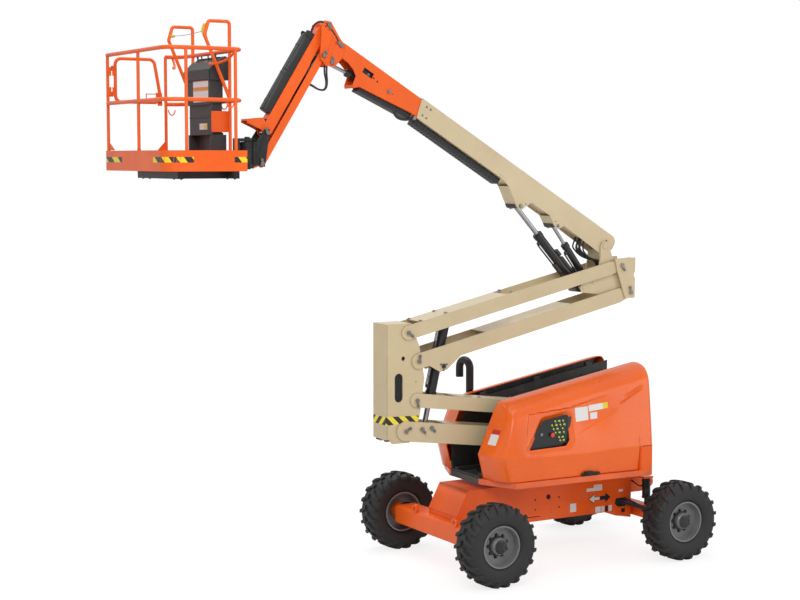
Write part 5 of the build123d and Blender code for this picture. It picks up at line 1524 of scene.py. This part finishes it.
# ---------------------------------------------------------------- platform
# A welded tube cage on a kick plate and floor. Small gussets, braces, lanyard rings, a latch and two
# hinge plates are welded on, and hazard stripes are stuck round the kick plate.
dress(orange_paint, "platform_floor", "platform_rails", "platform_gate")
gussets = Piece("post_gussets")
gussets.prism(((0.735, 4.340), (0.735, 4.430), (0.560, 4.340)), -4.5275, -4.5235, "X")
for y, way in ((-0.060, 1), (-0.060, -1)):
    gussets.prism(
        ((y + way * 0.014, 4.340), (y + way * 0.014, 4.380), (y + way * 0.050, 4.340)), -4.5275, -4.5235,
        "X"
    )
gussets.prism(((-3.944, 4.340), (-3.944, 4.425), (-4.025, 4.340)), 0.738, 0.742)
gussets.place(orange_paint, "platform", 0.001)

plates = Piece("gate_hinge_plates")
for z in (4.905, 5.095):
    plates.box((-4.5440, 0.7225, z - 0.042), (-4.495, 0.7265, z + 0.042))
plates.place(orange_paint, "platform", 0.001)
leaves = Piece("gate_hinge_leaves")
for z in (4.905, 5.095):
    leaves.box((-4.486, 0.7195, z - 0.040), (-4.452, 0.7235, z + 0.040))
leaves.place(orange_paint, "platform_gate", 0.001)
latch = Piece("gate_latch")
latch.box((-4.008, 0.752, 4.775), (-3.962, 0.759, 4.882))
latch.box((-4.135, 0.7405, 4.884), (-4.000, 0.7485, 4.892))
latch.box((-4.135, 0.7405, 4.800), (-4.127, 0.7485, 4.892))
latch.bar((-4.110, 0.745, 4.840), (-4.000, 0.745, 4.832), 0.007, sides=12)
latch.place(orange_paint, "platform_gate", 0.001)


for side, tag in ((-1, "near"), (1, "far")):
    route = (
        (-3.975, 0.430, 5.128), (-3.950, 0.470, 5.124), (-3.905, 0.560, 5.140), (-3.868, 0.660, 5.175),
        (-3.854, 0.735, 5.228)
    )
    hose("guard_brace_" + tag, [(x, side * y, z) for x, y, z in route], 0.012, "platform", orange_paint)
for index, (x, y, z) in enumerate(((-3.868, 0.740, 4.700), (-3.905, -0.740, 4.735), (-3.771, -0.300, 4.735))):
    ring = Piece("lanyard_ring_%d" % index)
    rings = []
    for count in range(25):
        angle = math.pi * (count / 24.0)
        centre = Vector((x, y, z + 0.037)) + Vector((0.034 * math.cos(angle), 0, -0.052 * math.sin(angle)))
        outward = Vector((math.cos(angle), 0, -math.sin(angle)))
        rings.append(
            [
                centre + outward * (0.006 * math.cos(a)) + Vector((0, 0.006 * math.sin(a), 0))
                for a in [2 * math.pi * k / 10 for k in range(10)]
            ]
        )
    ring.loft(rings)
    ring.place(orange_paint, "platform")

kick_bands = Piece("kick_plate_hazard")
low, high = 4.226, 4.276
for y0, y1 in ((0.330, 0.759), (-0.610, -0.455)):
    kick_bands.prism(((y0, low), (y1, low), (y1, high), (y0, high)), -4.5456, -4.5450, "X")
corner = []
for count in range(9):
    angle = math.pi / 2 * count / 8
    for_radius = []
    for radius in (0.1500, 0.1506):
        for_radius.append((-4.395 - radius * math.cos(angle), -0.610 - radius * math.sin(angle)))
    (ix, iy), (ox, oy) = for_radius
    corner.append([(ix, iy, low), (ox, oy, low), (ox, oy, high), (ix, iy, high)])
kick_bands.loft(corner)
kick_bands.prism(((-4.395, low), (-4.277, low), (-4.277, high), (-4.395, high)), -0.7606, -0.7600)
kick_bands.prism(((-3.878, low), (-3.751, low), (-3.751, high), (-3.878, high)), -0.7606, -0.7600)
kick_bands.prism(((-0.759, low), (-0.560, low), (-0.560, high), (-0.759, high)), -3.7510, -3.7504, "X")
kick_bands.prism(((0.560, low), (0.759, low), (0.759, high), (0.560, high)), -3.7510, -3.7504, "X")
kick_hazard, shade, surface, place = new_material("kick_plate_stripes")
along = shade.make("SeparateXYZ", None, {0: place}, 0)
across = shade.make("SeparateXYZ", None, {0: place}, 1)
level = shade.make("SeparateXYZ", None, {0: place}, 2)
phase = shade.math("FRACT", (along * 6.6 - across * 3.2 + level * 5.0) + 0.55)
cloud = shade.noise(12.0, 4.0, 0.6, place)
yellow = cloud.mix((0.88, 0.66, 0.02, 1), (0.80, 0.58, 0.02, 1))
join(
    shade, surface,
    {"Base Color": (phase > 0.5).mix(yellow, (0.012, 0.012, 0.013, 1)), "Roughness": cloud * 0.15 + 0.32}
)
kick_bands.place(kick_hazard, "platform")

tread = Piece("floor_tread")
for row in range(9):
    for column in range(16):
        x = -4.455 + 0.080 * row
        y = -0.690 + 0.092 * column
        if x < -4.40 and y < -0.62:
            continue
        tread.box((x, y, 4.1762), (x + 0.034, y + 0.010, 4.1785))
        tread.box((x + 0.040, y + 0.030, 4.1762), (x + 0.050, y + 0.064, 4.1785))
tread.place(orange_paint, "platform")

support_trim = Piece("support_bolts")
for y in (-0.470, -0.300, 0.300, 0.470):
    for x in (-4.280, -3.745):
        bolt(support_trim, (x, y, 4.0757), (0, 0, -1), 0.010, 0.007, 0.002)
support_trim.bar((-3.400, 0, 4.4635), (-3.400, 0, 4.4700), 0.026, sides=6)
support_trim.place(steel, "platform", 0.001)
hose(
    "support_hose_a",
    ((-3.700, -0.080, 4.115), (-3.640, -0.085, 4.098), (-3.560, -0.080, 4.110), (-3.505, -0.070, 4.160)),
    0.010, "platform"
)

# ---------------------------------------------------------------- platform console
# A moulded black stand with the joystick desk on top. Its faces carry blank plates, an orange cover is
# screwed to its side, and a yellow switch with a pull rope hangs between the guard loops.
console_black = paint("console_plastic", (0.030, 0.030, 0.031, 1), (0.040, 0.040, 0.041, 1), 0.5, 0.05, 0.006)
dress(console_black, "platform_console")
console_skirt = Piece("console_desk_parts")
for y, size in ((-0.300, 0.030), (-0.215, 0.022), (-0.130, 0.022), (0.020, 0.022), (0.115, 0.030)):
    console_skirt.bar((-3.850, y, 5.158), (-3.853, y, 5.186), size * 0.7, size * 0.5, 20)
    console_skirt.bar((-3.853, y, 5.186), (-3.856, y, 5.226), size * 0.24, size * 0.34, 16)
console_skirt.box((-3.835, -0.330, 5.1850), (-3.790, 0.150, 5.2020))
console_skirt.box((-3.957, -0.380, 5.0120), (-3.9505, 0.190, 5.0200))
console_skirt.prism(((-3.9585, 4.990), (-3.9655, 5.078), (-3.9625, 5.078), (-3.9555, 4.990)), -0.392, 0.202)
console_skirt.place(console_black, "platform", 0.003)
caps = Piece("console_switch_caps")
for y in (-0.260, -0.170, -0.085, 0.065):
    caps.bar((-3.882, y, 5.140), (-3.884, y, 5.156), 0.007, sides=12)
caps.place(label_yellow, "platform", 0.001)
stop = Piece("console_stop_button")
stop.bar((-3.866, -0.040, 5.150), (-3.869, -0.040, 5.172), 0.019, 0.021, 24)
stop.place(label_red, "platform", 0.002)


def front_plate(name, y0, y1, z0, z1, material, depth=0.0, x=-3.9443):
    plate_piece = Piece(name)
    plate_piece.box((x - depth - 0.0010, min(y0, y1), z0), (x - depth, max(y0, y1), z1))
    return plate_piece.place(material, "platform")


label_orange = tinted("label_orange", (0.82, 0.24, 0.02, 1), 0.4)
front_plate("console_plate_white", -0.330, 0.020, 4.786, 5.020, label_white)
front_plate("console_plate_red", -0.330, 0.020, 4.978, 5.020, label_red, 0.0011)
front_plate("console_plate_orange", -0.330, 0.020, 4.890, 4.925, label_orange, 0.0011)
front_plate("console_plate_small", -0.255, -0.075, 4.531, 4.588, label_white, 0.0, -3.9243)
front_plate("console_plate_small_mark", -0.255, -0.190, 4.537, 4.582, label_yellow, 0.0011, -3.9243)
ledge = Piece("console_shelf_edges")
ledge.box((-3.952, -0.372, 4.758), (-3.924, 0.202, 4.772))
ledge.box((-3.930, -0.352, 4.640), (-3.9245, 0.160, 4.650))
ledge.box((-3.930, -0.352, 4.478), (-3.9245, 0.160, 4.486))
ledge.place(console_black, "platform", 0.003)
side_cover = Piece("console_side_cover")
side_cover.box((-3.945, -0.3975, 4.505), (-3.748, -0.3905, 4.700))
side_cover.place(orange_paint, "platform", 0.004)
screws = Piece("console_side_screws")
for x in (-3.932, -3.761):
    for z in (4.519, 4.686):
        bolt(screws, (x, -0.3975, z), (0, -1, 0), 0.004, 0.0015)
screws.place(pin_end, "platform")
stand = Piece("console_stand")
stand.box((-3.945, -0.3900, 4.480), (-3.9250, -0.3500, 4.770))
stand.prism(
    ((-3.940, 4.482), (-3.940, 4.330), (-3.900, 4.178), (-3.790, 4.178), (-3.790, 4.482)), -0.3880, -0.3500
)
stand.prism(
    ((-3.940, 4.482), (-3.940, 4.330), (-3.900, 4.178), (-3.790, 4.178), (-3.790, 4.482)), 0.1300, 0.1600
)
stand.box((-3.800, -0.3500, 4.1775), (-3.788, 0.1300, 4.480))
stand.place(console_black, "platform", 0.004)

switch = Piece("tilt_guard_switch")
switch.prism(
    ((-0.395, 5.498), (-0.350, 5.440), (-0.350, 5.420), (-0.395, 5.372), (-0.412, 5.372), (-0.412, 5.498)),
    -4.020, -3.985, "X"
)
switch.place(label_yellow, "platform", 0.005)
anchor = Piece("rope_anchor")
anchor.bar((-4.000, 0.410, 5.430), (-4.000, 0.360, 5.427), 0.013, 0.016, 20)
anchor.bar((-4.000, 0.360, 5.427), (-4.000, 0.330, 5.426), 0.016, 0.008, 20)
anchor.place(label_yellow, "platform", 0.002)
rope_grey = tinted("rope_grey", (0.30, 0.31, 0.30, 1), 0.6)
hose(
    "switch_rope",
    ((-4.000, 0.332, 5.426), (-4.000, 0.150, 5.418), (-4.000, -0.100, 5.420), (-4.000, -0.352, 5.430)),
    0.0028, "platform", rope_grey
)
dress(grey_paint, "ground_control_box")
dress(black_paint, "exhaust_elbow")
# ---------------------------------------------------------------- floor, light and camera
# A pale seamless studio: the floor keeps the machine's soft shadow, and three large lamps and a white
# room light it evenly.
floor_material, shade, surface, place = new_material("studio_floor")
surface.inputs["Base Color"].default_value = (0.92, 0.92, 0.92, 1)
surface.inputs["Roughness"].default_value = 0.9
glow = shade.make("Emission", None, {"Color": (1, 1, 1, 1), "Strength": 1.12})
rays = shade.make("LightPath", None, None, 0)
reach = shade.make("VectorMath", {"operation": "LENGTH"}, {0: place}, 1).band(4.0, 13.0)
blend = shade.make(
    "MixShader", None, {0: rays * (reach * 0.28 + 0.72), 1: Shade(shade.tree, surface.outputs[0]), 2: glow}
)
floor_output = floor_material.node_tree.nodes["Material Output"]
floor_material.node_tree.links.new(blend.socket, floor_output.inputs[0])
floor_mesh = bpy.data.meshes.new("studio_floor")
floor_reach = 70
floor_corners = [(x * floor_reach, y * floor_reach, 0) for x, y in ((-1, -1), (1, -1), (1, 1), (-1, 1))]
floor_mesh.from_pydata(floor_corners, [], [(0, 1, 2, 3)])
floor = bpy.data.objects.new("studio_floor", floor_mesh)
bpy.context.collection.objects.link(floor)
floor_mesh.materials.append(floor_material)

world = bpy.data.worlds.new("studio")
bpy.context.scene.world = world
world.use_nodes = True
sky = Shade(world.node_tree)
seen = sky.make("LightPath", None, None, 0)
glossy = sky.make("LightPath", None, None, 3)
room = world.node_tree.nodes["Background"]
room.inputs["Color"].default_value = (1, 1, 1, 1)
strength = sky.math("MAXIMUM", seen, glossy * 0.8) * 0.45 + 0.55
world.node_tree.links.new(strength.socket, room.inputs["Strength"])


def lamp(name, place, target, size, power):
    """A square softbox that faces a point."""
    light = bpy.data.lights.new(name, "AREA")
    light.size = size
    light.energy = power
    lamp_object = bpy.data.objects.new(name, light)
    lamp_object.location = place
    aim = Vector(target) - Vector(place)
    lamp_object.rotation_euler = aim.to_track_quat("-Z", "Y").to_euler()
    bpy.context.collection.objects.link(lamp_object)


lamp("key_softbox", (-7.0, -8.5, 9.5), (-0.8, 0, 2.2), 6.0, 660)
lamp("fill_softbox", (7.5, -8.0, 5.0), (0, 0, 2.0), 6.0, 190)
lamp("top_softbox", (-1.0, 3.0, 11.0), (-1.0, 0, 2.0), 7.0, 380)

camera_data = bpy.data.cameras.new("camera")
camera_data.lens = 75.08
camera_data.sensor_width = 36.0
camera = bpy.data.objects.new("camera", camera_data)
camera_down, camera_turn = 4.885, -30.05
camera.location = (-10.190, -14.668, 4.272)
camera.rotation_euler = (math.radians(90 - camera_down), 0, math.radians(camera_turn))
bpy.context.collection.objects.link(camera)
bpy.context.scene.camera = camera
bpy.context.scene.view_settings.view_transform = "Standard"
